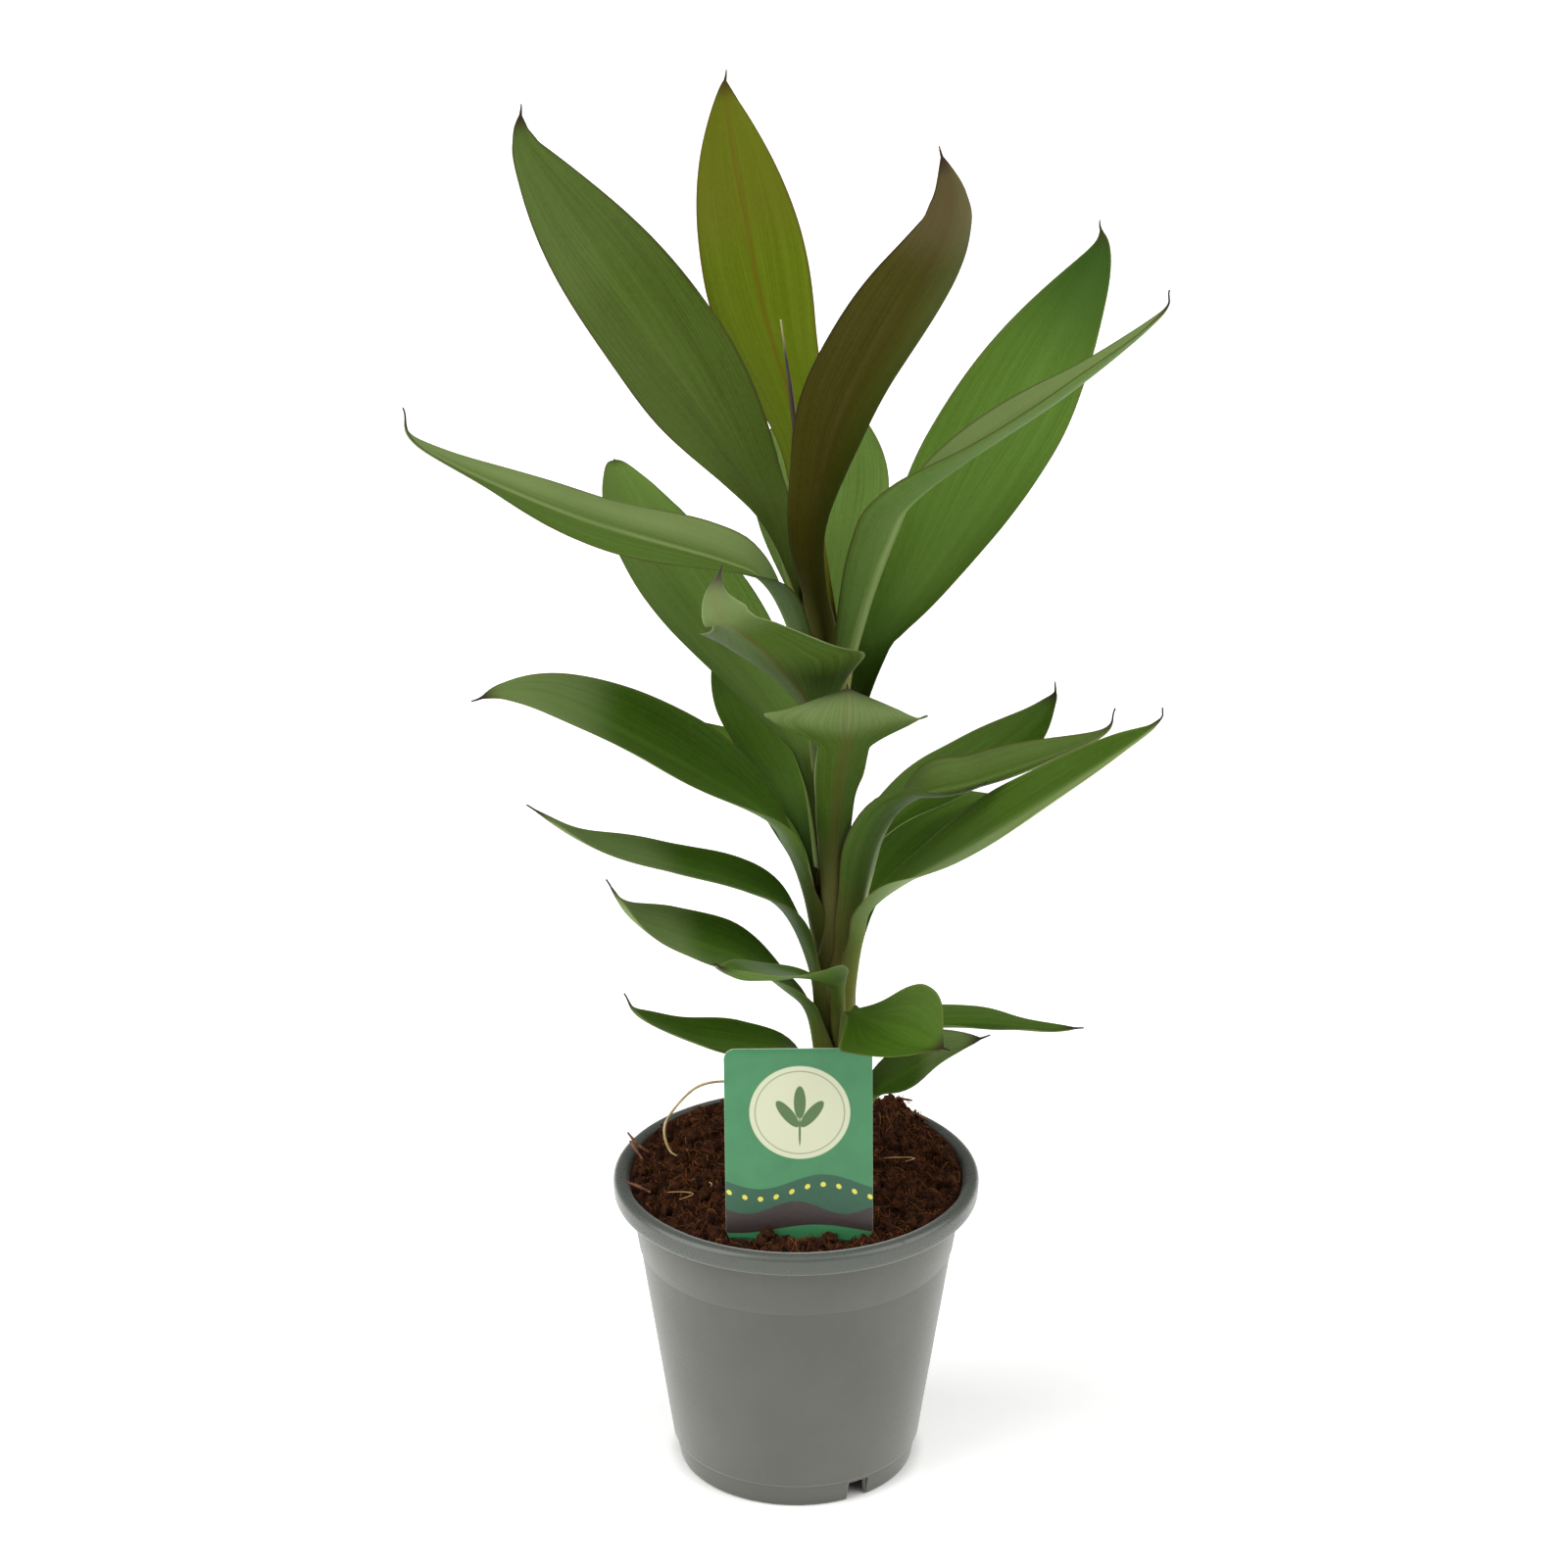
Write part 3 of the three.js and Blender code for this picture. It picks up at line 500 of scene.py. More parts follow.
class Tint(Enum):
    """The leaf finishes that the photographed plant shows."""

    OLIVE = LeafFinish(
        "leaf_olive_green", ("3c4c14", "536828"), ("5a6d2e", "718444"), "5c6c2e", "3f321c", "46521c",
        "352820", "7d8a58", 0.05, bloom_and_sheen="6a7d4a", bloom_and_sheen_share=0.2, rib_share=0.2, seed=7.0,
    )
    DEEP = LeafFinish(
        "leaf_deep_green", ("35500e", "4b6a1e"), ("44621c", "5c7836"), "5f7a30", "6c7440", "74743a",
        "33261e", "7d9055", 0.18, rib_share=0.25, seed=1.0,
    )
    MIDDLE = LeafFinish(
        "leaf_middle_green", ("34500e", "4a6a1e"), ("4a6824", "62803c"), "62802f", "666e38", "74743a",
        "33261e", "8a9a68", 0.22, "8a9a66", 0.6, 0.6, rib_share=0.3, seed=8.0,
    )
    ARCHING = replace(MIDDLE, name="leaf_arching_green", sheen_wash="7c8c54", sheen_wash_share=0.15, bloom_and_sheen_from=0.7)
    BROAD = LeafFinish(
        "leaf_broad_green", ("344c10", "4a6420"), ("506e2a", "6a8646"), "62802f", "6c7440", "6e6c32",
        "33261e", "96a86c", 0.6, sheen_wash_from=0.08, sheen_wash_to=-0.3, rib_share=0.3, seed=11.0,
    )
    # Young yellow-green, made lighter and yellower as painted light for the light that shines through the
    # thin blade.
    FRESH_BACKLIT = LeafFinish(
        "leaf_fresh_backlit_green", ("546406", "68781a"), ("546406", "68781a"), "6a5014", "5c4618", "7a8020",
        "46371a", "7f8a2a", 0.0, "6b5c22", 0.35, rib_reach=1.3, seed=2.0,
    )
    BRONZE = LeafFinish(
        "leaf_bronze", ("363c0c", "4a5016"), ("363408", "4c4614"), "403810", "2c2013", "484a14",
        "362620", "465016", 0.6, "7c6a52", 0.4, 0.78, rib_share=0.3, seed=3.0,
    )
    BRIGHT = LeafFinish(
        "leaf_bright_green", ("436018", "57742a"), ("52702c", "688442"), "5e7a34", "56602c", "3a4a12",
        "423c22", "5c8038", shadow_tone="24400c", rib_share=0.08, ends=0.95, seed=4.0,
    )
    # The dark green stalk margin here is painted shade.
    HAZY = LeafFinish(
        "leaf_hazy_green", ("56702c", "6c8840"), ("5e7836", "728c4c"), "748a48", "56602c", "4a5420",
        "423c22", "8a9a68", 0.1, dry_and_shaded_edge="3c4c1c", rib_share=0.1, seed=9.0,
    )
    # Painted shade darkens its stalk margin, and its pale foot is lightened as painted light on the shaded
    # stem base.
    PALE = LeafFinish(
        "leaf_pale_underside", ("384d12", "4f6628"), ("384d12", "4f6628"), "5c4c2c", "8a9468", "a0965c",
        "46363a", "8ba272", 0.0, "7d8d5c", 0.75, 0.79, dry_and_shaded_edge="4c4426", roughness=0.5, seed=5.0,
    )
    # Painted shade: its foot and its stalk margin are dark green, standing for the shade that the leaves
    # beside it cast on its stalk.
    PALE_HIGH = replace(PALE, name="leaf_pale_high", foot="44561e", dry_and_shaded_edge="3c4c1c")
    KEELED = LeafFinish(
        "leaf_keeled", ("3f5614", "5a742a"), ("4a6524", "668040"), "98a46c", "463a1e", "82783c",
        "2e201a", "96a670", 0.4, rib_reach=3.0, seed=6.0,
    )
    # Its pale foot is lightened as painted light on a stalk that lies in shade.
    KEELED_LOW = replace(
        KEELED, name="leaf_keeled_low", upper=("384e10", "506a22"), rib="869460", edge="5a5030",
        foot="aaa05c", sheen_wash="8a9a62", sheen_wash_share=0.25, rib_share=0.3, rib_reach=2.4, seed=12.0,
    )
    KEELED_LEFT = replace(
        KEELED, name="leaf_keeled_left", upper=("425a1a", "5a7432"), rib="94a06a", foot="6a6430",
        sheen_wash="8c9c66", sheen_wash_share=0.5, sheen_wash_from=0.1, sheen_wash_to=-0.6, rib_reach=2.4, seed=10.0,
    )


@dataclass(frozen=True)
class SpearFinish(Finish):
    """The rolled leaf's skin: dark brown-purple, paler at the tip and along its free edge."""

    name: str = "spear_skin"
    dark: str = "3d3024"
    green: str = "5a5a2a"
    pale: str = "b0a878"
    roughness: float = 0.42
    cloud: float = 120.0
    speck: float = 900.0

    FOOT = (0.0, 0.35)
    CLOUDS = (0.4, 0.7, 0.0, 0.35)
    FREE_EDGE = (0.3, 0.9, 0.0, 0.75)
    TIP = (0.86, 0.99, 0.0, 0.8)
    RELIEF = (0.1, 0.6)

    def looks(self, bench: Bench, grain: Outputs, effects: Effects) -> dict[str, Feed]:
        """Wires the tones from the foot to the tip."""
        share = bench.attribute("share")
        body = bench.coats(
            tone(self.green),
            (bench.band(share, *self.FOOT), self.dark),
            (bench.band(grain["Cloudy"], *self.CLOUDS), self.green),
            (bench.band(bench.attribute("edge"), *self.FREE_EDGE), self.pale),
            (bench.band(share, *self.TIP), self.pale),
        )
        relief = bench.bump(grain["Height"], *self.RELIEF)
        return {"Base Color": body, "Roughness": self.roughness, "Normal": relief}


@dataclass(frozen=True)
class PotFinish(Finish):
    """Satin grey plastic with a smoother rim, faint mould lines and a little dirt at the top."""

    name: str = "pot_satin_plastic"
    body: str = "4b4c44"
    worn: str = "55564d"
    rim: str = "4c504a"
    dirt: str = "4a3426"
    rim_height: float = 96.6
    rim_fade: float = 0.6
    rim_polish: float = 0.14
    dirt_reach: tuple[float, float] = (-2, 7)
    dirt_roughness: float = 0.3
    sheen: float = 0.42
    sheen_roughness: float = 0.35
    cloud: float = 34.0
    speck: float = 1500.0

    # Each noise's stretch, detail and roughness.
    STREAKS = ((260, 260, 9), 3.0, 0.6)
    SMUDGES = ((150, 150, 150), 4.0, 0.7)
    RINGS = ((0.4, 0.4, 520), 2.0, 0.5)
    # Where each effect starts and ends, then how strong it is there.
    WORN = (0.3, 0.7, 0.0, 0.55)
    STREAKED = (0.55, 0.75, 0.0, 0.18)
    SMUDGED = (0.6, 0.72, 0.0, 0.6)
    SATIN = (0.3, 0.7, 0.4, 0.5)
    SPECK_RELIEF = 0.35
    RELIEF = (0.05, 0.6)

    def looks(self, bench: Bench, grain: Outputs, effects: Effects) -> dict[str, Feed]:
        """Wires the plastic, its upright streaks, its turned rings and its dirt."""
        place = bench.place()
        height = bench.times(bench.parts(place)[2], 1 / MM)
        streaks, smudge, rings = (
            bench.noise(bench.stretched(place, stretch), 1.0, detail, roughness)
            for stretch, detail, roughness in (self.STREAKS, self.SMUDGES, self.RINGS)
        )
        rim = bench.band(height, self.rim_height - self.rim_fade, self.rim_height + self.rim_fade)
        near_top = bench.band(height, *(self.rim_height + reach for reach in self.dirt_reach))
        dirty = bench.times(bench.band(smudge, *self.SMUDGED), near_top)
        body = bench.coats(
            tone(self.body),
            (bench.band(grain["Cloudy"], *self.WORN), self.worn),
            (bench.band(streaks, *self.STREAKED), self.worn),
            (rim, self.rim),
            (dirty, self.dirt),
        )
        satin = bench.band(grain["Speckled"], *self.SATIN)
        smooth = bench.math("SUBTRACT", satin, bench.times(rim, self.rim_polish))
        relief = bench.plus(bench.times(grain["Speckled"], self.SPECK_RELIEF), rings)
        return {
            "Base Color": body,
            "Roughness": bench.plus(smooth, bench.times(dirty, self.dirt_roughness)),
            "Normal": bench.bump(relief, *self.RELIEF),
            "Sheen Weight": self.sheen,
            "Sheen Roughness": self.sheen_roughness,
        }


@dataclass(frozen=True)
class PrintFinish(Finish):
    """The label's print: a pale disc with a sprout over rolling bands, with a row of seeds.

    Places are in millimetres across and up the plate, from the middle of its foot.
    """

    name: str = "label_print"
    field_tone: str = "3c8152"
    panel: str = "c8cbae"
    line: str = "8f9b7c"
    sprout: str = "4d6b3c"
    hill: str = "22533b"
    furrow: str = "352a28"
    seed_tone: str = "d6cf4e"
    disc_at: tuple[float, float] = (0, 47)
    disc_halves: tuple[float, ...] = (16, 14.4, 14)
    disc_softness: float = 0.012
    petal_half: tuple[float, float] = (5.6, 1.9)
    petal_softness: float = 0.05
    seed_height: float = 19.5
    seed_spacing: float = 5.0
    wave_softness: float = 0.12
    cloud: float = 90.0
    speck: float = 620.0

    # Each petal's middle and its turn in degrees, and the stem's middle, half size, turn and softness.
    PETALS = (((-3.9, 46.5), 128), ((3.9, 46.5), 52), ((0, 50.5), 90))
    STEM = ((0, 40.5), (0.35, 5), 0, 0.15)
    # Each wave's width, height and start, and for a band also the level below it.
    CREST = (6.5, 2.6, 0.4)
    CREST_LEVEL = 23
    FURROW_BAND = (14, 5.0, 2.2, 1.8)
    FIELD_BAND = (6.5, 8.0, 1.5, 0.9)
    LOW_BAND = (3.0, 4.0, 0.6, 0.0)
    CLOUDS = (0.3, 0.7, 0.0, 0.25)
    SEED_EDGE = (0.95, 0.75)
    SATIN = (0.3, 0.7, 0.3, 0.42)
    RELIEF = (0.12, 0.6)

    def looks(self, bench: Bench, grain: Outputs, effects: Effects) -> dict[str, Feed]:
        """Wires the print, from its ground up to the lowest band."""
        across, _, up = PlantLabel.foot
        x, _, z = bench.parts(bench.stretched(bench.place(), (1 / MM,) * 3, (-across, 0, -up)))

        def wave(width: float, height: float, start: float) -> Socket:
            """Returns how high a wave stands across the plate."""
            turn = bench.plus(bench.times(x, 1 / width), start)
            return bench.times(bench.math("SINE", turn), height)

        def below(level: float, *curve: float) -> Socket:
            """Returns 1 below a wave that rolls at a level, and 0 above it."""
            rise = bench.math("SUBTRACT", z, bench.plus(wave(*curve), level))
            return bench.band(rise, self.wave_softness, -self.wave_softness)

        def oval(at: tuple[float, float], half: tuple[float, float], turn: float, soft: float) -> Socket:
            """Returns 1 inside a turned oval, and 0 outside its soft edge."""
            feeds = {
                "Vector": bench.joined(x, z, 0.0),
                "Location": (*at, 0),
                "Rotation": (0, 0, math.radians(turn)),
                "Scale": (*half, 1),
            }
            made = bench.node("ShaderNodeMapping", feeds, vector_type="TEXTURE")
            return bench.band(bench.length(made.outputs["Vector"]), 1 + soft, 1 - soft)

        cell = bench.math("SUBTRACT", bench.math("FRACT", bench.times(x, 1 / self.seed_spacing)), 0.5)
        rise = bench.math("SUBTRACT", z, bench.plus(wave(*self.CREST), self.seed_height))
        seed = bench.length(bench.joined(bench.times(cell, self.seed_spacing), rise, 0.0))
        discs = [oval(self.disc_at, (half, half), 0, self.disc_softness) for half in self.disc_halves]
        petals = [oval(at, self.petal_half, turn, self.petal_softness) for at, turn in self.PETALS]
        body = bench.coats(
            tone(self.field_tone),
            (bench.band(grain["Cloudy"], *self.CLOUDS), self.hill),
            *zip(discs, (self.panel, self.line, self.panel)),
            *((petal, self.sprout) for petal in petals),
            (oval(*self.STEM), self.sprout),
            (below(self.CREST_LEVEL, *self.CREST), self.hill),
            (bench.band(seed, *self.SEED_EDGE), self.seed_tone),
            (below(*self.FURROW_BAND), self.furrow),
            (below(*self.FIELD_BAND), self.field_tone),
            (below(*self.LOW_BAND), self.hill),
        )
        return {
            "Base Color": body,
            "Roughness": bench.band(grain["Speckled"], *self.SATIN),
            "Normal": bench.bump(grain["Height"], *self.RELIEF),
        }


def placed(name: str, data: bpy.types.ID) -> bpy.types.Object:
    """Makes an object of a mesh, curve, lamp or camera and links it to the scene."""
    made = bpy.data.objects.new(name, data)
    bpy.context.scene.collection.objects.link(made)
    return made


def piece(name: str, mesh: bpy.types.Mesh, *finishes: bpy.types.Material) -> bpy.types.Object:
    """Makes an object of a mesh with its finishes, smooth shaded and at the origin."""
    if mesh.materials:
        mesh.materials.clear()
    for finish in finishes:
        mesh.materials.append(finish)
    mesh.shade_smooth()
    return placed(name, mesh)


class Fitter:
    """Dresses each mesh and hands it to the frame as a piece."""

    def __init__(self) -> None:
        """Builds the shared shader groups."""
        self.effects = Effects()
        self.materials: dict[Finish, bpy.types.Material] = {}

    def material(self, finish: Finish) -> bpy.types.Material:
        """Returns a finish's material, which is built once."""
        if finish not in self.materials:
            self.materials[finish] = finish.build(self.effects)
        return self.materials[finish]

    def fit(self, name: str, mesh: bpy.types.Mesh, slot: str, *finishes: Finish, node: str = "") -> None:
        """Hands a dressed piece to the frame.

        Args:
            name: The piece's name.
            mesh: Its mesh.
            slot: Not used; it names a material slot for the finish.
            finishes: Its finishes, in the order of the mesh's material numbers.
            node: The CAD node that it stands for, if any.
        """
        made = piece(name, mesh, *map(self.material, finishes))
        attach(made, ROOT)
        if node:
            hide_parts(node)
        LOG.info("%s: %d faces", name, len(mesh.polygons))


def mesh_from(name: str, shape: bmesh.types.BMesh) -> bpy.types.Mesh:
    """Turns a finished bmesh into a mesh and frees it."""
    mesh = bpy.data.meshes.new(name)
    shape.to_mesh(mesh)
    shape.free()
    return mesh


def settled(holder: bpy.types.Object) -> bpy.types.Mesh:
    """Returns an object's mesh as its curve or modifiers make it, and removes the object."""
    bpy.context.view_layer.update()
    mesh = bpy.data.meshes.new_from_object(holder.evaluated_get(bpy.context.evaluated_depsgraph_get()))
    bpy.data.objects.remove(holder)
    return mesh


def open_edges(shape: bmesh.types.BMesh) -> list[bmesh.types.BMEdge]:
    """Returns the edges where a skin is open."""
    return [edge for edge in shape.edges if edge.is_boundary]


def closed(name: str, shape: bmesh.types.BMesh) -> bpy.types.Mesh:
    """Fills a skin's open ends, turns its faces outwards and makes it a mesh."""
    bmesh.ops.holes_fill(shape, edges=open_edges(shape), sides=0)
    bmesh.ops.recalc_face_normals(shape, faces=shape.faces[:])
    return mesh_from(name, shape)


def wrapped(
    name: str,
    around: int,
    rows: int,
    place: Callable[[int, int], Vector],
    values: Callable[[int, int], dict[str, float]],
) -> bpy.types.Mesh:
    """Wraps a flat grid round into a closed skin.

    Args:
        name: The mesh's name.
        around: Cells round the skin.
        rows: Cells along it.
        place: Gives the point, in millimetres, at a cell corner counted round and along.
        values: Gives the values that the finish reads there.

    Returns:
        The closed skin.
    """
    shape = bmesh.new()
    bmesh.ops.create_grid(shape, x_segments=around, y_segments=rows, size=1.0)
    layers = {key: shape.verts.layers.float.new(key) for key in values(0, 0)}
    seam = []
    for vertex in shape.verts:
        turn = round((vertex.co.x + 1) / 2 * around)
        row = round((vertex.co.y + 1) / 2 * rows)
        if turn in (0, around):
            seam.append(vertex)
        vertex.co = place(turn, row) * MM
        for key, value in values(turn, row).items():
            vertex[layers[key]] = value
    bmesh.ops.remove_doubles(shape, verts=seam, dist=1e-7)
    return closed(name, shape)


@dataclass(frozen=True)
class Stalk:
    """A closed round rod along a route, with its own radius all over."""

    route: tuple[Spot, ...]
    around: int
    rows: int

    UP = Vector((0, 1, 0.2))

    def radius(self, centre: Vector, share: float, angle: float) -> float:
        """Returns the radius in millimetres at a centre, a share of the length and an angle."""
        raise NotImplementedError

    def values(self, share: float, angle: float) -> dict[str, float]:
        """Returns the values that the finish reads at a share of the length and an angle."""
        return {}

    def build(self, name: str) -> bpy.types.Mesh:
        """Builds the rod as a mesh of a name."""
        route = Route(self.route)

        def spot(turn: int, row: int) -> tuple[float, float]:
            """Returns a cell corner's share of the length and its angle."""
            return row / self.rows, math.tau * turn / self.around

        def place(turn: int, row: int) -> Vector:
            """Returns a cell corner's point on the rod."""
            share, angle = spot(turn, row)
            centre, run = route.at(share), route.run(share)
            side = (self.UP - run * self.UP.dot(run)).normalized()
            spoke = side * math.cos(angle) + run.cross(side) * math.sin(angle)
            return centre + spoke * self.radius(centre, share, angle)

        return wrapped(name, self.around, self.rows, place, lambda turn, row: self.values(*spot(turn, row)))


@dataclass(frozen=True)
class Cane(Stalk):
    """The short woody stem, with a scar ring for each fallen leaf."""

    route: tuple[Spot, ...] = (
        (13, 1, 48), (13, 1, 98), (12.5, 1, 150), (11, 1, 205), (9.5, 2, 260), (8.5, 3, 300),
    )
    around: int = 28
    rows: int = 150
    foot_radius: float = 4.6
    top_radius: float = 1.6
    bark_share: float = 0.94
    scar_spacing: float = 6.5
    scar_depth: float = 0.035
    scar_sway: float = 0.06
    knot_depth: float = 0.02
    knot_stretch: float = 0.2

    def centre_at(self, height: float) -> Vector:
        """Returns the cane's centre at a height."""
        for low, high in pairwise(self.route):
            if height <= high[2]:
                return Vector(low).lerp(Vector(high), (height - low[2]) / (high[2] - low[2]))
        return Vector(self.route[-1])

    def radius_at(self, height: float) -> float:
        """Returns the cane's radius at a height."""
        share = (height - self.route[0][2]) / (self.route[-1][2] - self.route[0][2])
        return mixed(self.foot_radius, self.top_radius, share**2)

    def radius(self, centre: Vector, share: float, angle: float) -> float:
        """Returns the radius with the scar rings and knots."""
        ring = math.sin(math.tau * (centre.z / self.scar_spacing + self.scar_sway * math.sin(angle * 2)))
        knot = noise.noise(Vector((math.cos(angle), math.sin(angle), centre.z * self.knot_stretch)))
        bark = self.bark_share - self.scar_depth * max(ring, 0) ** 4 + self.knot_depth * knot
        return self.radius_at(centre.z) * bark


@dataclass(frozen=True)
class Spear(Stalk):
    """The youngest leaf, still rolled tight round itself."""

    route: tuple[Spot, ...] = ((8.5, 3, 300.4), (5.5, 3, 320), (1, 3, 346), (-2, 3, 371), (-5, 4, 394))
    around: int = 24
    rows: int = 90
    radii: tuple[float, ...] = (1.6, 1.5, 1.3, 0.95, 0.3)
    seam_turns: float = 1.4
    seam_depth: float = 0.28
    seam_slope: float = 0.9
    edge_from: float = 0.8

    def seam(self, share: float, angle: float) -> float:
        """Returns how near a place is to the free edge that winds up the roll, from 0 to 1."""
        turned = (angle / math.tau - self.seam_turns * share) % 1.0
        return eased(turned, 0.0, self.seam_slope) - eased(turned, self.seam_slope, 1.0)

    def radius(self, centre: Vector, share: float, angle: float) -> float:
        """Returns the radius with the free edge standing off the roll."""
        full = mixed(along(self.radii, share), self.radii[-1], share**8)
        return full * (1 - self.seam_depth * (1 - self.seam(share, angle)))

    def values(self, share: float, angle: float) -> dict[str, float]:
        """Returns the share of the length and how much of a place is free edge."""
        return {"share": share, "edge": eased(self.seam(share, angle), self.edge_from, 1.0)}


@dataclass(frozen=True)
class RootFibre(Stalk):
    """One pale stiff root that arches out of the soil."""

    route: tuple[Spot, ...] = (
        (-9, 30, 104), (-15, 22, 123), (-24, 21, 126), (-34, 19, 124), (-43, 15, 114), (-42, 11, 106),
        (-37, 9, 103.4),
    )
    around: int = 12
    rows: int = 150
    half_thickness: float = 0.44
    knob_share: float = 0.42
    knob_length: float = 0.012
    knob_swell: float = 0.9
    uneven_swell: float = 0.16
    uneven_count: float = 40
    thin_from: float = 0.85
    thin_share: float = 0.5

    def radius(self, centre: Vector, share: float, angle: float) -> float:
        """Returns the uneven radius with its small knob and thin end."""
        knob = math.exp(-(((share - self.knob_share) / self.knob_length) ** 2))
        uneven = noise.noise(Vector((share * self.uneven_count, 0, 0)))
        swell = 1 + self.knob_swell * knob + self.uneven_swell * uneven
        return self.half_thickness * swell * (1 - self.thin_share * eased(share, self.thin_from, 1.0))


HALF_CELLS = 12
# How far out each column of half a leaf stands, from 0 at the midrib to 1 at the margin.
REACHES = [(1 - math.cos(math.pi * cell / HALF_CELLS)) / 2 for cell in range(HALF_CELLS + 1)]


@dataclass(frozen=True)
class Leaf:
    """One leaf: a channelled petiole that clasps the cane, and a pointed lance.

    Lengths are in millimetres and angles in degrees. Lists run from the foot to the tip.
    """

    name: str
    height: float
    facing: tuple[float, ...]
    spine: tuple[Spot, ...]
    width: float
    petiole: float
    widest: float
    cup: tuple[float, ...]
    roll: tuple[float, ...]
    tint: Tint
    curl: tuple[float, ...] = (0, 0)
    petiole_half: float = 4.4
    throat_half: float | None = None
    taper: float = 2.1
    sheath_half: float = 8.0

    ROW_LENGTH = 2.4
    ROW_CROWDING = 1.25
    NEEDLE_LENGTH = 3.5
    NEEDLE_HALF = 0.45
    NEEDLE_ROWS = 3
    FOOT_GAP = 0.6
    RIB_THICKNESS = 1.5
    SKIN = 0.26
    SKIN_ROUNDING = 6
    SHEATH_LENGTH = 42.0
    SHEATH_SHARE = 0.24
    SHEATH_CUP = 82.0
    WAVE_HEIGHT = 0.5
    WAVE_SPREAD = 2.5
    WAVES = 3.1
    WAVE_SHIFT = 1.3
    WAVE_START = 0.2
    WAVE_END = 0.85
    FLUTTER_SHARE = 0.6
    FLUTTERS = 9
    GROOVE_DEPTH = 0.3
    GROOVE_HALF = 1.1
    KEEL_DEPTH = 0.85
    KEEL_HALF = 2.2
    KEEL_FALL = 0.75
    # The foot's tone starts to fade at a share of the stalk, and ends a share of the leaf past it.
    LONGEST_STALK = 0.3
    STALK_FADE = (0.3, 0.16)
    STALK_SHARE = 0.85
    # The margin's tone fades between these distances from the edge, and reaches further on the stalk.
    FRINGE = (0.15, 0.65)
    FRINGE_SHARE = 0.75
    STALK_FRINGE = 0.5
    # How far from the needle's end the tip's tone starts and is full.
    TIP = (11, 2.5)

    def route(self, cane: Cane) -> Route:
        """Returns the midrib's route from its foot on the cane."""
        turn = math.radians(self.facing[0])
        clear = cane.radius_at(self.height) + self.FOOT_GAP + self.RIB_THICKNESS / 2
        foot = cane.centre_at(self.height) + Vector((math.cos(turn), math.sin(turn), 0)) * clear
        return Route([foot, *self.spine])

    def sheathed(self, share: float, length: float) -> float:
        """Returns how much the leaf is still a sheath round the cane, from 1 at its foot to 0."""
        return 1 - eased(share * length, 0.0, min(self.SHEATH_LENGTH, self.SHEATH_SHARE * length))

    def half_width(self, share: float, needle: float, length: float) -> float:
        """Returns half the blade's flat width at a share of the length."""
        if share < self.widest:
            throat = self.throat_half or self.petiole_half
            channel = mixed(self.petiole_half, throat, min(share / self.petiole, 1.0))
            half = mixed(channel, self.width / 2, eased(share, self.petiole, self.widest))
            return max(half, mixed(self.petiole_half, self.sheath_half, self.sheathed(share, length)))
        if share > needle:
            return mixed(self.NEEDLE_HALF, self.NEEDLE_HALF / 4, (share - needle) / (1 - needle))
        fall = (share - self.widest) / (needle - self.widest)
        return mixed(self.width / 2, self.NEEDLE_HALF, fall**self.taper)

    def bend(self, share: float, reach: float, length: float) -> float:
        """Returns the blade's tilt from its midrib's plane, in radians, at a reach from -1 to 1."""
        away = abs(reach)
        cup = mixed(along(self.cup, share), self.SHEATH_CUP, self.sheathed(share, length))
        tilt = math.radians(cup) * away - math.radians(along(self.curl, share)) * away**3
        return math.copysign(tilt, reach)

    def section(self, route: Route, share: float, half: float) -> list[tuple[Vector, Vector, float]]:
        """Works out the blade's section at a share of its length.

        Args:
            route: The midrib.
            share: The share of the length.
            half: Half the blade's flat width there.

        Returns:
            For each column from margin to margin: its point, its outward normal and its reach.
        """
        turn = math.radians(along(self.facing, share))
        run = route.run(share)
        side = Vector((-math.sin(turn), math.cos(turn), 0))
        side = (side - run * side.dot(run)).normalized()
        side.rotate(Matrix.Rotation(math.radians(along(self.roll, share)), 3, run))
        face = run.cross(side)
        columns = [(route.at(share), face.copy(), 0.0)]
        for sign in (-1, 1):
            point = route.at(share)
            for before, after in pairwise(REACHES):
                tilt = self.bend(share, sign * (before + after) / 2, route.length)
                stride = sign * half * (after - before)
                point = point + side * (math.cos(tilt) * stride) + face * (math.sin(tilt) * stride)
                here = self.bend(share, sign * after, route.length)
                normal = face * math.cos(here) - side * math.sin(here)
                columns.append((point, normal, sign * after))
        return [*columns[HALF_CELLS:0:-1], columns[0], *columns[HALF_CELLS + 1 :]]

    def rows(self, length: float) -> tuple[float, list[float]]:
        """Returns the share where the needle starts, and the shares of all rows."""
        needle = 1 - self.NEEDLE_LENGTH / length
        count = round(length / self.ROW_LENGTH)
        blade = [needle * (1 - (1 - row / count) ** self.ROW_CROWDING) for row in range(count + 1)]
        point = [mixed(needle, 1, row / self.NEEDLE_ROWS) for row in range(1, self.NEEDLE_ROWS + 1)]
        return needle, blade + point

    def wave(self, share: float, reach: float) -> float:
        """Returns how far the margin's soft wave lifts the blade."""
        seed = sum(map(ord, self.name))
        blade = eased(share, self.petiole, self.petiole + self.WAVE_START)
        blade *= 1 - eased(share, self.WAVE_END, 1.0)
        ripple = math.sin(math.tau * share * self.WAVES + seed + math.copysign(self.WAVE_SHIFT, reach))
        flutter = noise.noise(Vector((share * self.FLUTTERS, math.copysign(2, reach), seed)))
        ripple += self.FLUTTER_SHARE * flutter
        return self.WAVE_HEIGHT * blade * ripple * abs(reach) ** self.WAVE_SPREAD

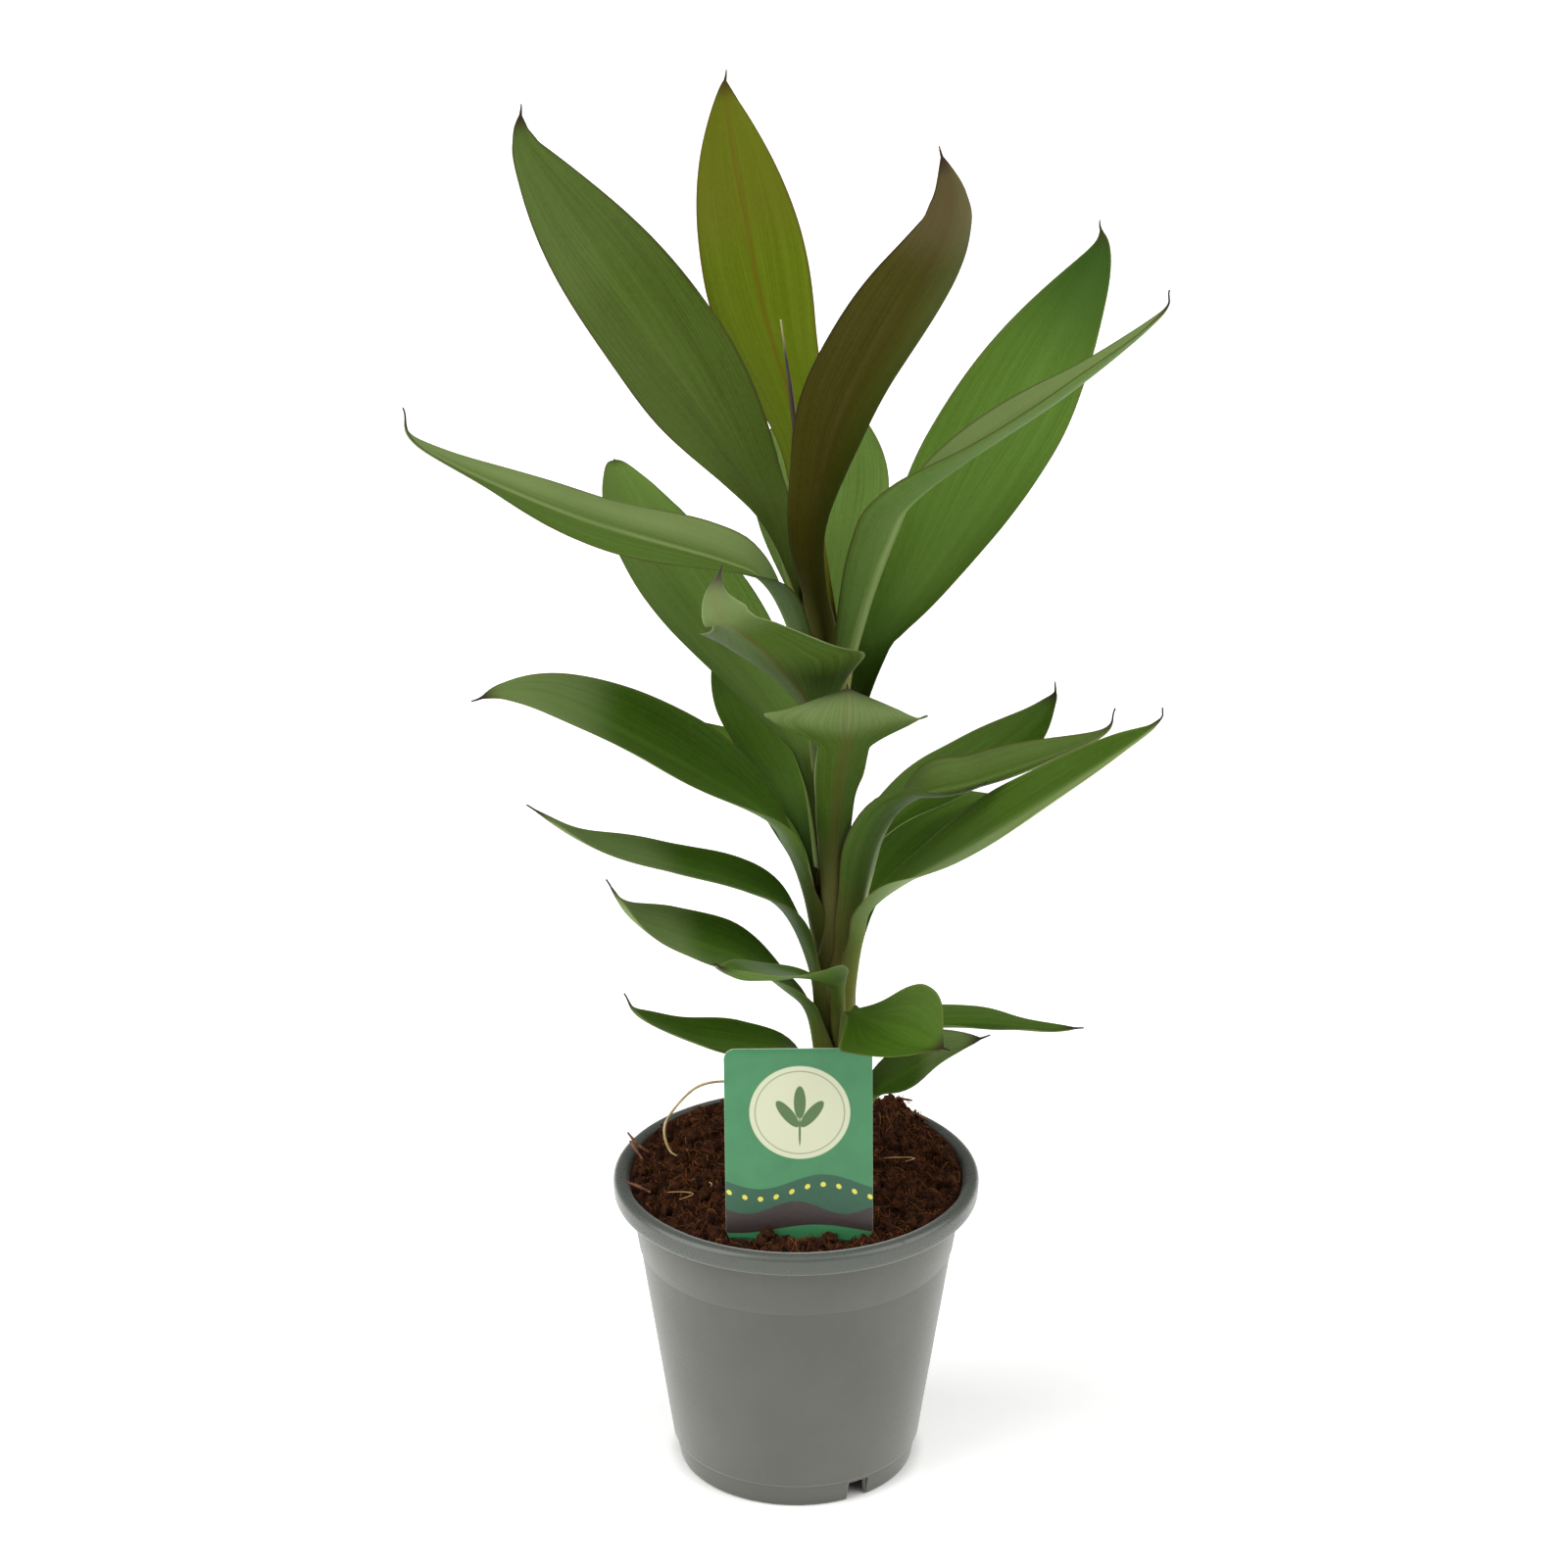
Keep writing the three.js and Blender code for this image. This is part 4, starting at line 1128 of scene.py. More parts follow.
    def build(self, cane: Cane) -> bpy.types.Mesh:
        """Builds the leaf's closed blade, with the values that its finish reads.

        Args:
            cane: The cane that it grows on.

        Returns:
            The mesh.
        """
        route = self.route(cane)
        length = route.length
        needle, shares = self.rows(length)
        halves = [self.half_width(share, needle, length) for share in shares]
        sections = [self.section(route, share, half) for share, half in zip(shares, halves)]
        columns = 2 * HALF_CELLS
        stalk_share = min(self.petiole, self.LONGEST_STALK)
        stalk_fade = (stalk_share * self.STALK_FADE[0], stalk_share + self.STALK_FADE[1])

        def place(turn: int, row: int) -> Vector:
            """Returns a cell corner's point, on the upper face up to the last column and then below."""
            point, normal, reach = sections[row][min(turn, 2 * columns - turn)]
            share, half = shares[row], halves[row]
            inset = half * abs(reach)
            depth = self.SKIN * (1 - abs(reach) ** self.SKIN_ROUNDING) ** 0.5
            if turn <= columns:
                depth -= self.GROOVE_DEPTH * math.exp(-((inset / self.GROOVE_HALF) ** 2)) * (1 - share)
            else:
                keel = self.KEEL_DEPTH * math.exp(-((inset / self.KEEL_HALF) ** 2))
                depth = -(depth + keel * (1 - share * self.KEEL_FALL) * min(1.0, half / 2))
            return point + normal * (depth + self.wave(share, reach))

        def values(turn: int, row: int) -> dict[str, float]:
            """Returns what the finish reads at a cell corner."""
            reach = sections[row][min(turn, 2 * columns - turn)][2]
            share, half, away = shares[row], halves[row], abs(reach)
            stalk = 1 - eased(share, *stalk_fade)
            fringe_end = self.FRINGE[1] + self.STALK_FRINGE * stalk
            margin = 1 - eased(half * (1 - away), self.FRINGE[0], fringe_end)
            return {
                "reach": reach,
                "share": share,
                "across": half * away,
                "under": 0.5 if away == 1 else float(turn > columns),
                "stalk": self.STALK_SHARE * stalk,
                "fringe": margin * mixed(self.FRINGE_SHARE, 1, stalk),
                "tip": eased(share * length, length - self.TIP[0], length - self.TIP[1]),
            }

        return wrapped(self.name, 2 * columns, len(shares) - 1, place, values)


LEAVES: tuple[Leaf, ...] = (
    Leaf(
        "leaf_top_left", 276, (175, 118, 104),
        ((-6, 6, 323), (-16, 8, 343), (-45, 17, 386), (-77, 22, 432), (-84, 24, 446), (-84, 25, 456)),
        40, 0.12, 0.55, (70, 34, 22, 26), (0, 0), Tint.OLIVE,
    ),
    Leaf(
        "leaf_top_upright", 284, (86, 94, 90),
        ((4, 14, 325), (1, 25, 350), (-9, 38, 381), (-15, 47, 407), (-22, 60, 446), (-22, 63, 457)),
        34, 0.2, 0.66, (70, 30, 20, 26), (0, 0), Tint.FRESH_BACKLIT,
    ),
    Leaf(
        "leaf_top_front", 270, (-80, -74, -67, -60),
        (
            (9, -1.4, 290), (4, -11, 325), (8, -16, 352), (17, -24, 380), (41, -40, 428), (45, -44, 445),
            (41, -45, 462),
        ),
        34, 0.15, 0.66, (70, 46, 28, 30), (0, 0), Tint.BRONZE,
    ),
    Leaf(
        "leaf_top_back", 266, (90, 88, 88),
        ((8, 24, 312), (8, 38.5, 326.5), (8, 53, 337), (9, 68.5, 342), (9, 84, 341.5)),
        44, 0.1, 0.55, (70, 34, 20, 26), (0, 0), Tint.HAZY,
    ),
    Leaf(
        "leaf_upper_right_back", 236, (50, 60, 66),
        ((23, 6, 279), (28, 10, 291), (41, 18, 309), (72, 42, 357), (95, 63, 394), (96, 68, 407)),
        44, 0.14, 0.58, (70, 34, 22, 30), (0, 0), Tint.BRIGHT,
    ),
    Leaf(
        "leaf_upper_right_folded", 252, (-62, -44, -22),
        ((17, -9, 290), (28, -17, 329), (39, -22, 348), (82, -26, 381), (109, -16, 401), (112, -14, 409)),
        32, 0.1, 0.5, (70, 55, 50, 40), (0, 8, 20, 10), Tint.KEELED,
    ),
    Leaf(
        "leaf_upper_left_arching", 246, (200, 205, 200),
        (
            (3, -8, 278), (-2, -17, 301), (-10, -24, 319), (-23, -30, 328), (-67, -46, 348),
            (-110, -60, 374), (-116, -60, 387),
        ),
        40, 0.12, 0.5, (70, 40, 14, 26), (0, -6, -14, -8), Tint.KEELED_LEFT, curl=(0, 0, 20, 0),
    ),
    Leaf(
        "leaf_upper_left_back", 212, (146, 127, 125),
        (
            (3, 8, 242), (-4, 16, 257), (-40, 40, 299.5), (-50, 54, 310.5), (-55.5, 66, 318),
            (-58.5, 75, 322.5), (-59.5, 83, 322),
        ),
        38, 0.1, 0.58, (70, 34, 24, 30), (0, 0), Tint.HAZY, taper=2.3, sheath_half=5.0,
    ),
    Leaf(
        "leaf_upper_front_left", 222, (-105, -118, -114, -110),
        (
            (8, -15, 262), (2.5, -32, 284), (-4.5, -46, 299), (-11, -57, 310.5), (-17, -63, 318),
            (-22, -65, 322.5), (-24.5, -61, 329), (-22.5, -53, 335),
        ),
        57, 0.4, 0.68, (70, 60, 50, 44, 40), (0, 2, 4, 0, 2), Tint.PALE_HIGH,
        curl=(0, 0, 10, 50, 20), throat_half=8.0, taper=0.8, sheath_half=5.0,
    ),
    Leaf(
        "leaf_middle_front", 176, (-73, -84, -92),
        (
            (12.4, -14, 217), (12, -22, 234), (12.3, -32, 249), (13.4, -43, 264), (14.6, -53, 276.5),
            (15.1, -61, 286.5), (15.4, -58, 293), (15.2, -45.5, 293.6),
        ),
        52, 0.74, 0.86, (70, 64, 60, 56, 40), (0, 0, 0, 3), Tint.PALE,
        curl=(0, 0, 10, 130, 40), petiole_half=4.0, throat_half=8.6, taper=1.2,
    ),
    Leaf(
        "leaf_middle_left_arching", 182, (205, 198, 198),
        (
            (3, -8, 207), (-3, -16, 227), (-12, -24, 243), (-41, -34, 266), (-72, -42, 286),
            (-89, -46, 291), (-99, -50, 290),
        ),
        40, 0.12, 0.55, (70, 44, 36, 20), (0, -12, -22, -20), Tint.ARCHING,
    ),
    Leaf(
        "leaf_middle_left_back", 196, (138, 122, 120),
        ((4, 12, 219), (-3, 22, 236), (-13, 36, 250), (-22, 50, 262), (-29, 60, 270)),
        32, 0.12, 0.55, (70, 34, 24, 30), (0, 0), Tint.BRIGHT,
    ),
    Leaf(
        "leaf_middle_right_back", 190, (32, 44, 48),
        ((19, 8, 211), (27, 16, 218), (39, 28, 223), (73, 52, 236), (84, 60, 246), (85, 62, 252)),
        30, 0.12, 0.6, (70, 40, 24, 30), (0, 0), Tint.DEEP,
    ),
    Leaf(
        "leaf_middle_right_folded", 168, (-52, -44, -12),
        ((21, -13, 211), (26.5, -16.5, 232), (37, -17, 244), (57, -16, 249), (94, -9, 261), (100, -6, 270)),
        30, 0.2, 0.55, (70, 50, 40, 40), (0, 4, 12, 6), Tint.KEELED_LOW, throat_half=7.5,
    ),
    Leaf(
        "leaf_middle_right_arching", 158, (-50, -32, -24),
        ((20, -14, 193), (26, -21, 211), (58, -42, 242), (99, -52, 275), (110, -51, 284), (111, -50, 288)),
        40, 0.2, 0.58, (70, 44, 22, 36), (0, 10, 18, 12), Tint.BROAD,
    ),
    Leaf(
        "leaf_lower_left_narrow", 154, (194, 200, 200),
        ((5, -8, 180), (-4, -18, 206), (-19, -26, 219), (-41, -34, 229), (-65, -42, 240), (-83, -48, 255)),
        25, 0.15, 0.5, (56, 44, 26, 30), (-8, -6, -8, -4), Tint.MIDDLE, petiole_half=5.8,
    ),
    Leaf(
        "leaf_lower_left_broad", 140, (212, 212, 212),
        ((4, -8, 165), (-4, -16, 178), (-18, -24, 192), (-36, -32, 202), (-51, -40, 213), (-59, -46, 229)),
        28, 0.15, 0.55, (56, 44, 26, 30), (-6, -14, -26, -10), Tint.MIDDLE, petiole_half=5.4,
    ),
    Leaf(
        "leaf_lower_front_left", 148, (-72, -98, -120),
        (
            (13, -16, 175.5), (10.5, -25, 184), (3, -40, 193), (-7, -56, 200.5), (-17, -70, 206.5),
            (-25, -84, 218),
        ),
        31, 0.22, 0.6, (70, 44, 26, 30), (0, 0), Tint.DEEP, petiole_half=2.6, sheath_half=3.6,
    ),
    Leaf(
        "leaf_lowest_left", 118, (215, 210, 208),
        ((1, -11, 150), (-15, -22, 160), (-33, -32, 168), (-49, -40, 179), (-54, -44, 189)),
        22, 0.15, 0.5, (70, 44, 26, 30), (0, -4, -14, -4), Tint.DEEP,
    ),
    Leaf(
        "leaf_lowest_front_right", 130, (-62, -58, -50),
        (
            (16.5, -18, 167.5), (18.5, -26, 173), (24, -38, 176), (31, -52, 180), (39.5, -66, 182.5),
            (47, -76, 185),
        ),
        36, 0.44, 0.7, (70, 44, 26, 30), (0, 14, 26, 20), Tint.DEEP, petiole_half=2.8, sheath_half=4.0,
    ),
    Leaf(
        "leaf_lowest_right_narrow", 124, (25, 22, 20),
        ((26, 10, 147), (41, 18, 148), (61, 26, 145), (81, 34, 139), (96, 41, 136)),
        20, 0.15, 0.5, (70, 44, 26, 30), (0, 0), Tint.DEEP,
    ),
    Leaf(
        "leaf_lowest_right_drooping", 110, (-15, -15, -18),
        ((25, -5, 133), (36, -9, 144), (48, -14, 154), (62, -18, 162)),
        26, 0.15, 0.55, (70, 44, 26, 30), (0, 12, 20, 10), Tint.MIDDLE,
    ),
    Leaf(
        "leaf_middle_back", 202, (68, 76, 72),
        ((15, 10, 240), (16, 24, 266), (20, 42, 279), (27, 62, 288), (32, 82, 292)),
        22, 0.2, 0.6, (70, 40, 26, 26), (0, 0), Tint.DEEP, petiole_half=3.0,
    ),
    Leaf(
        "leaf_lower_back_left", 162, (120, 126, 126),
        ((8, 10, 186), (2, 22, 209), (-9, 42, 224), (-21, 60, 231), (-33, 76, 233)),
        22, 0.2, 0.6, (70, 40, 26, 26), (0, 0), Tint.DEEP, petiole_half=3.4,
    ),
    Leaf(
        "leaf_lower_back_right", 146, (70, 60, 52),
        ((19, 12, 184), (25, 25, 198), (39, 45, 206), (56, 65, 207), (72, 80, 204)),
        28, 0.2, 0.6, (70, 40, 26, 26), (0, 0), Tint.DEEP, petiole_half=3.4,
    ),
)


@dataclass
class Pot:
    """The thin moulded nursery pot with its rolled rim and three drain slots."""

    height: float = 104
    rim_radius: float = 60
    rim_roll: float = 2.3
    lip_drop: float = 7
    throat_radius: float = 56
    step_drop: float = 25
    step_inset: float = 0.5
    heel_radius: float = 41
    heel_height: float = 8
    heel_edge: float = 0.7
    foot_radius: float = 38.8
    foot_thickness: float = 2.4
    wall: float = 1.4
    floor_height: float = 5
    around: int = 216
    slot_turns: tuple[float, ...] = (-59, 61, 181)
    slot_width: float = 7.5
    slot_height: float = 7
    slot_inside: float = 30
    slot_outside: float = 42.8

    def wall_radius(self, height: float) -> float:
        """Returns the outer radius of the tapered wall at a height."""
        share = (height - self.heel_height) / (self.height - self.lip_drop - self.heel_height)
        return mixed(self.heel_radius, self.throat_radius - self.wall, share)

    def profile(self) -> list[tuple[float, float]]:
        """Returns the pot's section as radii and heights, from its floor's underside to its top."""
        top, rim, wall, roll = self.height, self.rim_radius, self.wall, self.rim_roll
        foot, heel, heel_top, floor = self.foot_radius, self.heel_radius, self.heel_height, self.floor_height
        inner, edge, throat = foot - self.foot_thickness, heel - self.heel_edge, self.throat_radius
        lip, step = top - self.lip_drop, top - self.step_drop
        neck, inset = self.wall_radius(lip), self.wall_radius(step) - self.step_inset
        arc = (math.radians(12 * cell) for cell in range(9))
        return [
            (0, floor), (inner, floor), (inner, 0.7), (inner + 0.25, 0.2), (inner + 0.7, 0),
            (foot - 0.7, 0), (foot - 0.2, 0.2), (foot, 0.7), (edge - 0.1, heel_top - 0.5), (edge, heel_top),
            (heel - 0.25, heel_top + 0.35), (heel, heel_top + 0.9), (inset, step - 0.9),
            (inset + 0.1, step - 0.5), (self.wall_radius(step), step), (self.wall_radius(lip - 3), lip - 3),
            (neck + 0.35, lip), (neck + 1.2, lip + 1.6), (rim - 3.4, lip + 2.6), (rim - 2.2, lip + 1.9),
            (rim - 1.7, lip + 0.6), (rim - 1.35, lip + 0.15), (rim - 0.95, lip), (rim - 0.5, lip + 0.2),
            (rim - 0.2, lip + 0.9), (rim - 0.05, lip + 2.2),
            *((rim - roll + roll * math.cos(turn), top - roll + roll * math.sin(turn)) for turn in arc),
            (throat - 0.1, top - 0.35), (throat - 0.7, top - 1.5), (neck - wall + 0.3, lip + 1),
            (neck - wall, lip - 0.5), (heel - wall - 0.6, floor + wall), (0, floor + wall),
        ]

    def build(self) -> bpy.types.Mesh:
        """Builds the pot: its section spun round, closed at the floor, with the slots cut through."""
        shape = bmesh.new()
        corners = [shape.verts.new((radius * MM, 0, height * MM)) for radius, height in self.profile()]
        edges = [shape.edges.new(pair) for pair in pairwise(corners)]
        bmesh.ops.spin(
            shape, geom=[*corners, *edges], axis=(0, 0, 1), cent=(0, 0, 0), angle=math.tau,
            steps=self.around, use_merge=True,
        )
        bmesh.ops.remove_doubles(shape, verts=shape.verts[:], dist=1e-6)
        bmesh.ops.recalc_face_normals(shape, faces=shape.faces[:])
        shell = placed("pot_uncut", mesh_from("pot_uncut", shape))
        cutter = placed("pot_slots", self._slots())
        cut = shell.modifiers.new("slots", "BOOLEAN")
        cut.operation = "DIFFERENCE"
        cut.solver = "EXACT"
        cut.object = cutter
        mesh = settled(shell)
        bpy.data.objects.remove(cutter)
        return mesh

    def _slots(self) -> bpy.types.Mesh:
        """Builds the three blocks that cut the drain slots through the foot ring."""
        shape = bmesh.new()
        middle = Vector(((self.slot_inside + self.slot_outside) / 2, 0, self.slot_height / 2 - 1))
        size = Vector((self.slot_outside - self.slot_inside, self.slot_width, self.slot_height + 2))
        for turn in self.slot_turns:
            block = Matrix.Rotation(math.radians(turn), 4, "Z") @ Matrix.Translation(middle * MM)
            block = block @ Matrix.Diagonal(size * MM).to_4x4()
            bmesh.ops.create_cube(shape, size=1.0, matrix=block)
        return mesh_from("pot_slots", shape)


# A strand's thickness follows a half wave that is cut off at both ends, over a least share.
STRAND_TIP = 0.35
STRAND_END = 0.12


def strands(
    name: str, thickness: float, paths: Iterable[Sequence[Sequence[float]]], resolution: int = 0
) -> bpy.types.Mesh:
    """Draws thin loose fibres as tubes that taper to both ends.

    Args:
        name: The mesh's name.
        thickness: The fibres' thickness in millimetres.
        paths: Each fibre's points in millimetres.
        resolution: How round each tube is, where 0 gives four sides.

    Returns:
        The fibres as one mesh.
    """
    line = bpy.data.curves.new(name, "CURVE")
    line.dimensions = "3D"
    line.bevel_depth = thickness / 2 * MM
    line.bevel_resolution = resolution
    line.use_fill_caps = True
    for points in paths:
        spline = line.splines.new("POLY")
        last = len(points) - 1
        spline.points.add(last)
        for index, (spot, point) in enumerate(zip(spline.points, points)):
            spot.co = (*(Vector(point) * MM), 1.0)
            turn = math.pi * mixed(STRAND_END, 1 - STRAND_END, index / last)
            spot.radius = mixed(STRAND_TIP, 1, math.sin(turn))
    mesh = settled(placed(name, line))
    bpy.data.curves.remove(line)
    return mesh


def tumbled(draw: random.Random, width: tuple[float, float], depth: tuple[float, float]) -> Matrix:
    """Draws a random turn and squeeze for a lump, by the limits of its width and depth."""
    turned = Euler([draw.uniform(0, math.tau) for _ in range(3)]).to_matrix()
    return turned @ Matrix.Diagonal(Vector((1, draw.uniform(*width), draw.uniform(*depth))))


@dataclass
class Soil:
    """The coir potting mix: a lumpy bed, crumbs on it and loose fibres over them."""

    pot: Pot
    brim: float = 102.1
    dome: float = 1.2
    lump_height: float = 0.8
    radius: float = 54.6
    edge_height: float = 101.7
    heap: float = 3.0
    clump_height: float = 6.0
    clump_at: tuple[float, float] = (34, 35)
    clump_spread: float = 95
    clod_relief: float = 2.4
    crumb_relief: float = 1.1
    pit_depth: float = 4.0
    relief_drop: float = 0.8
    side_gap: float = 0.3
    cells: int = 220
    crumbs: int = 1500
    crumb_sizes: tuple[float, float] = (0.35, 0.8)
    big_crumb: float = 1.6
    big_share: float = 0.12
    crumb_margin: float = 1.5
    clods: int = 380
    clod_sizes: tuple[float, float] = (1.2, 3.2)
    clod_margin: float = 2.6
    strand_margin: float = 2.5
    seed: int = 11

    HEAP_REACH = (-5, 42)
    # Each soft wave's height, its turn per millimetre across and back, and its start.
    LUMPS = (
        (0.5, 0.21, 0.24, 0.2),
        (0.5, 0.21, -0.24, 1.0),
        (0.6, 0.43, 0.37, 1.9),
        (0.5, -0.31, 0.62, math.pi / 2),
    )
    # Each noise's scale per millimetre, and where it starts.
    CLOD_SCALE = 0.16
    CRUMB_SCALE, CRUMB_START = 0.55, Vector((7, 3, 1))
    PIT_SCALE, PIT_START, PIT_LEVEL = 0.3, Vector((1, 9, 4)), 0.1
    LAYERS = 3
    EDGE_SLACK = 0.4
    EDGE_CALM = 3.0
    FOOT_INSET = 0.6
    # How high a lump stands on the bed, as a share of its size, and the limits of its squeeze.
    CRUMB_LIFT, CRUMB_SQUEEZE = 0.2, ((0.5, 0.9), (0.4, 0.8))
    CLOD_LIFT, CLOD_SQUEEZE = 0.1, ((0.6, 0.95), (0.5, 0.8))
    # A clod's plain core and its rough skin, as shares of its size, and the skin's scale.
    CLOD_CORE, CLOD_SKIN, SKIN_SCALE = 0.62, 0.7, 1.5
    STRAND_BEND = 0.5
    STRAND_BASE = (-0.15, 0.3)
    STRAND_EDGE = 1

    def heaped(self, y: float) -> float:
        """Returns how much higher the soil lies towards the back of the pot."""
        return self.heap * eased(y, *self.HEAP_REACH)

    def height_at(self, x: float, y: float) -> float:
        """Returns the soil's height at a place, in millimetres."""
        away = math.hypot(x, y) / self.pot.throat_radius
        lumps = sum(
            height * math.sin(across * x + back * y + start) for height, across, back, start in self.LUMPS
        )
        off_centre = (x - self.clump_at[0]) ** 2 + (y - self.clump_at[1]) ** 2
        clump = self.clump_height * math.exp(-off_centre / self.clump_spread)
        return self.brim + self.dome * (1 - away**2) + self.lump_height * lumps + clump + self.heaped(y)

    def rough_at(self, x: float, y: float) -> float:
        """Returns the height with the coir's clods and crumbs on it."""
        place = Vector((x, y, 0))
        clods = noise.turbulence(place * self.CLOD_SCALE, self.LAYERS, False)
        crumbs = noise.turbulence(place * self.CRUMB_SCALE + self.CRUMB_START, self.LAYERS, True)
        pits = max(0.0, noise.noise(place * self.PIT_SCALE + self.PIT_START) - self.PIT_LEVEL)
        relief = self.clod_relief * clods + self.crumb_relief * crumbs - self.pit_depth * pits
        return self.height_at(x, y) + relief - self.relief_drop

    def side(self) -> tuple[tuple[float, float], tuple[float, float]]:
        """Returns the bed's radius and height at the foot of the pot's lip and at the pot's floor."""
        lip = self.pot.height - self.pot.lip_drop
        clear = self.pot.wall + self.side_gap
        floor = self.pot.floor_height + clear
        foot = self.pot.heel_radius - clear - self.FOOT_INSET
        return (self.pot.wall_radius(lip) - clear, lip), (foot, floor)

    def bed(self) -> bpy.types.Mesh:
        """Builds the closed bed, with a rough top and a tapered side down to the pot's floor."""
        shape = bmesh.new()
        bmesh.ops.create_grid(
            shape, x_segments=self.cells, y_segments=self.cells, size=(self.radius + 1) * MM
        )
        limit = self.radius * MM
        outside = [vertex for vertex in shape.verts if vertex.co.length > limit + self.EDGE_SLACK * MM]
        bmesh.ops.delete(shape, geom=outside, context="VERTS")
        for vertex in shape.verts:
            if vertex.is_boundary:
                vertex.co *= limit / vertex.co.length
            x, y = vertex.co.x / MM, vertex.co.y / MM
            calm = eased(self.radius - math.hypot(x, y), 0.0, self.EDGE_CALM)
            vertex.co.z = mixed(self.edge_height + self.heaped(y), self.rough_at(x, y), calm) * MM
        for radius, height in self.side():
            made = bmesh.ops.extrude_edge_only(shape, edges=open_edges(shape))["geom"]
            for vertex in (item for item in made if isinstance(item, bmesh.types.BMVert)):
                vertex.co = Vector((*(vertex.co.xy.normalized() * radius), height)) * MM
        return closed("soil_bed", shape)

    def spot(self, draw: random.Random, margin: float) -> tuple[float, float]:
        """Draws an even random place on the bed, a margin inside its edge."""
        away = (self.radius - margin) * math.sqrt(draw.random())
        turn = draw.uniform(0, math.tau)
        return away * math.cos(turn), away * math.sin(turn)

    def crumb_mesh(self) -> bpy.types.Mesh:
        """Builds the loose crumbs as small dented lumps pressed into the bed."""
        draw = random.Random(self.seed)
        shape = bmesh.new()
        for _ in range(self.crumbs):
            x, y = self.spot(draw, self.crumb_margin)
            size = draw.uniform(*self.crumb_sizes)
            size *= self.big_crumb if draw.random() < self.big_share else 1.0
            spot = Vector((x, y, self.rough_at(x, y) + size * self.CRUMB_LIFT)) * MM
            form = tumbled(draw, *self.CRUMB_SQUEEZE).to_4x4()
            bmesh.ops.create_icosphere(
                shape, subdivisions=1, radius=size * MM, matrix=Matrix.Translation(spot) @ form
            )
        return mesh_from("soil_crumbs", shape)

    def clod_mesh(self) -> bpy.types.Mesh:
        """Builds the larger clods of matted coir, rough all over and half sunk in the bed."""
        draw = random.Random(self.seed + 5)
        shape = bmesh.new()
        for _ in range(self.clods):
            x, y = self.spot(draw, self.clod_margin)
            size = draw.uniform(*self.clod_sizes)
            spot = Vector((x, y, self.rough_at(x, y) + size * self.CLOD_LIFT))
            form = tumbled(draw, *self.CLOD_SQUEEZE)
            for vertex in bmesh.ops.create_icosphere(shape, subdivisions=3, radius=1.0)["verts"]:
                rough = noise.turbulence(vertex.co * self.SKIN_SCALE + spot, self.LAYERS, True)
                swell = size * (self.CLOD_CORE + self.CLOD_SKIN * rough)
                vertex.co = (spot + form @ vertex.co * swell) * MM
        return mesh_from("soil_clods", shape)

    def strand(self, draw: random.Random, length: float, lift: float, steps: int = 4) -> list[Vector]:
        """Draws one fibre that lies curling on the bed.

        Args:
            draw: The source of random numbers.
            length: Its length in millimetres.
            lift: How far its middle stands off the bed.
            steps: How many straight steps it has.

        Returns:
            The fibre's points.
        """
        x, y = self.spot(draw, self.strand_margin)
        heading = draw.uniform(0, math.tau)
        turn = draw.gauss(0, self.STRAND_BEND)
        base = draw.uniform(*self.STRAND_BASE)
        limit = self.radius - self.STRAND_EDGE
        path = []
        for step in range(steps + 1):
            height = self.rough_at(x, y) + base + lift * math.sin(math.pi * step / steps)
            path.append(Vector((x, y, height)))
            heading += turn
            x += length / steps * math.cos(heading)
            y += length / steps * math.sin(heading)
            away = math.hypot(x, y)
            if away > limit:
                x, y = x * limit / away, y * limit / away
        return path


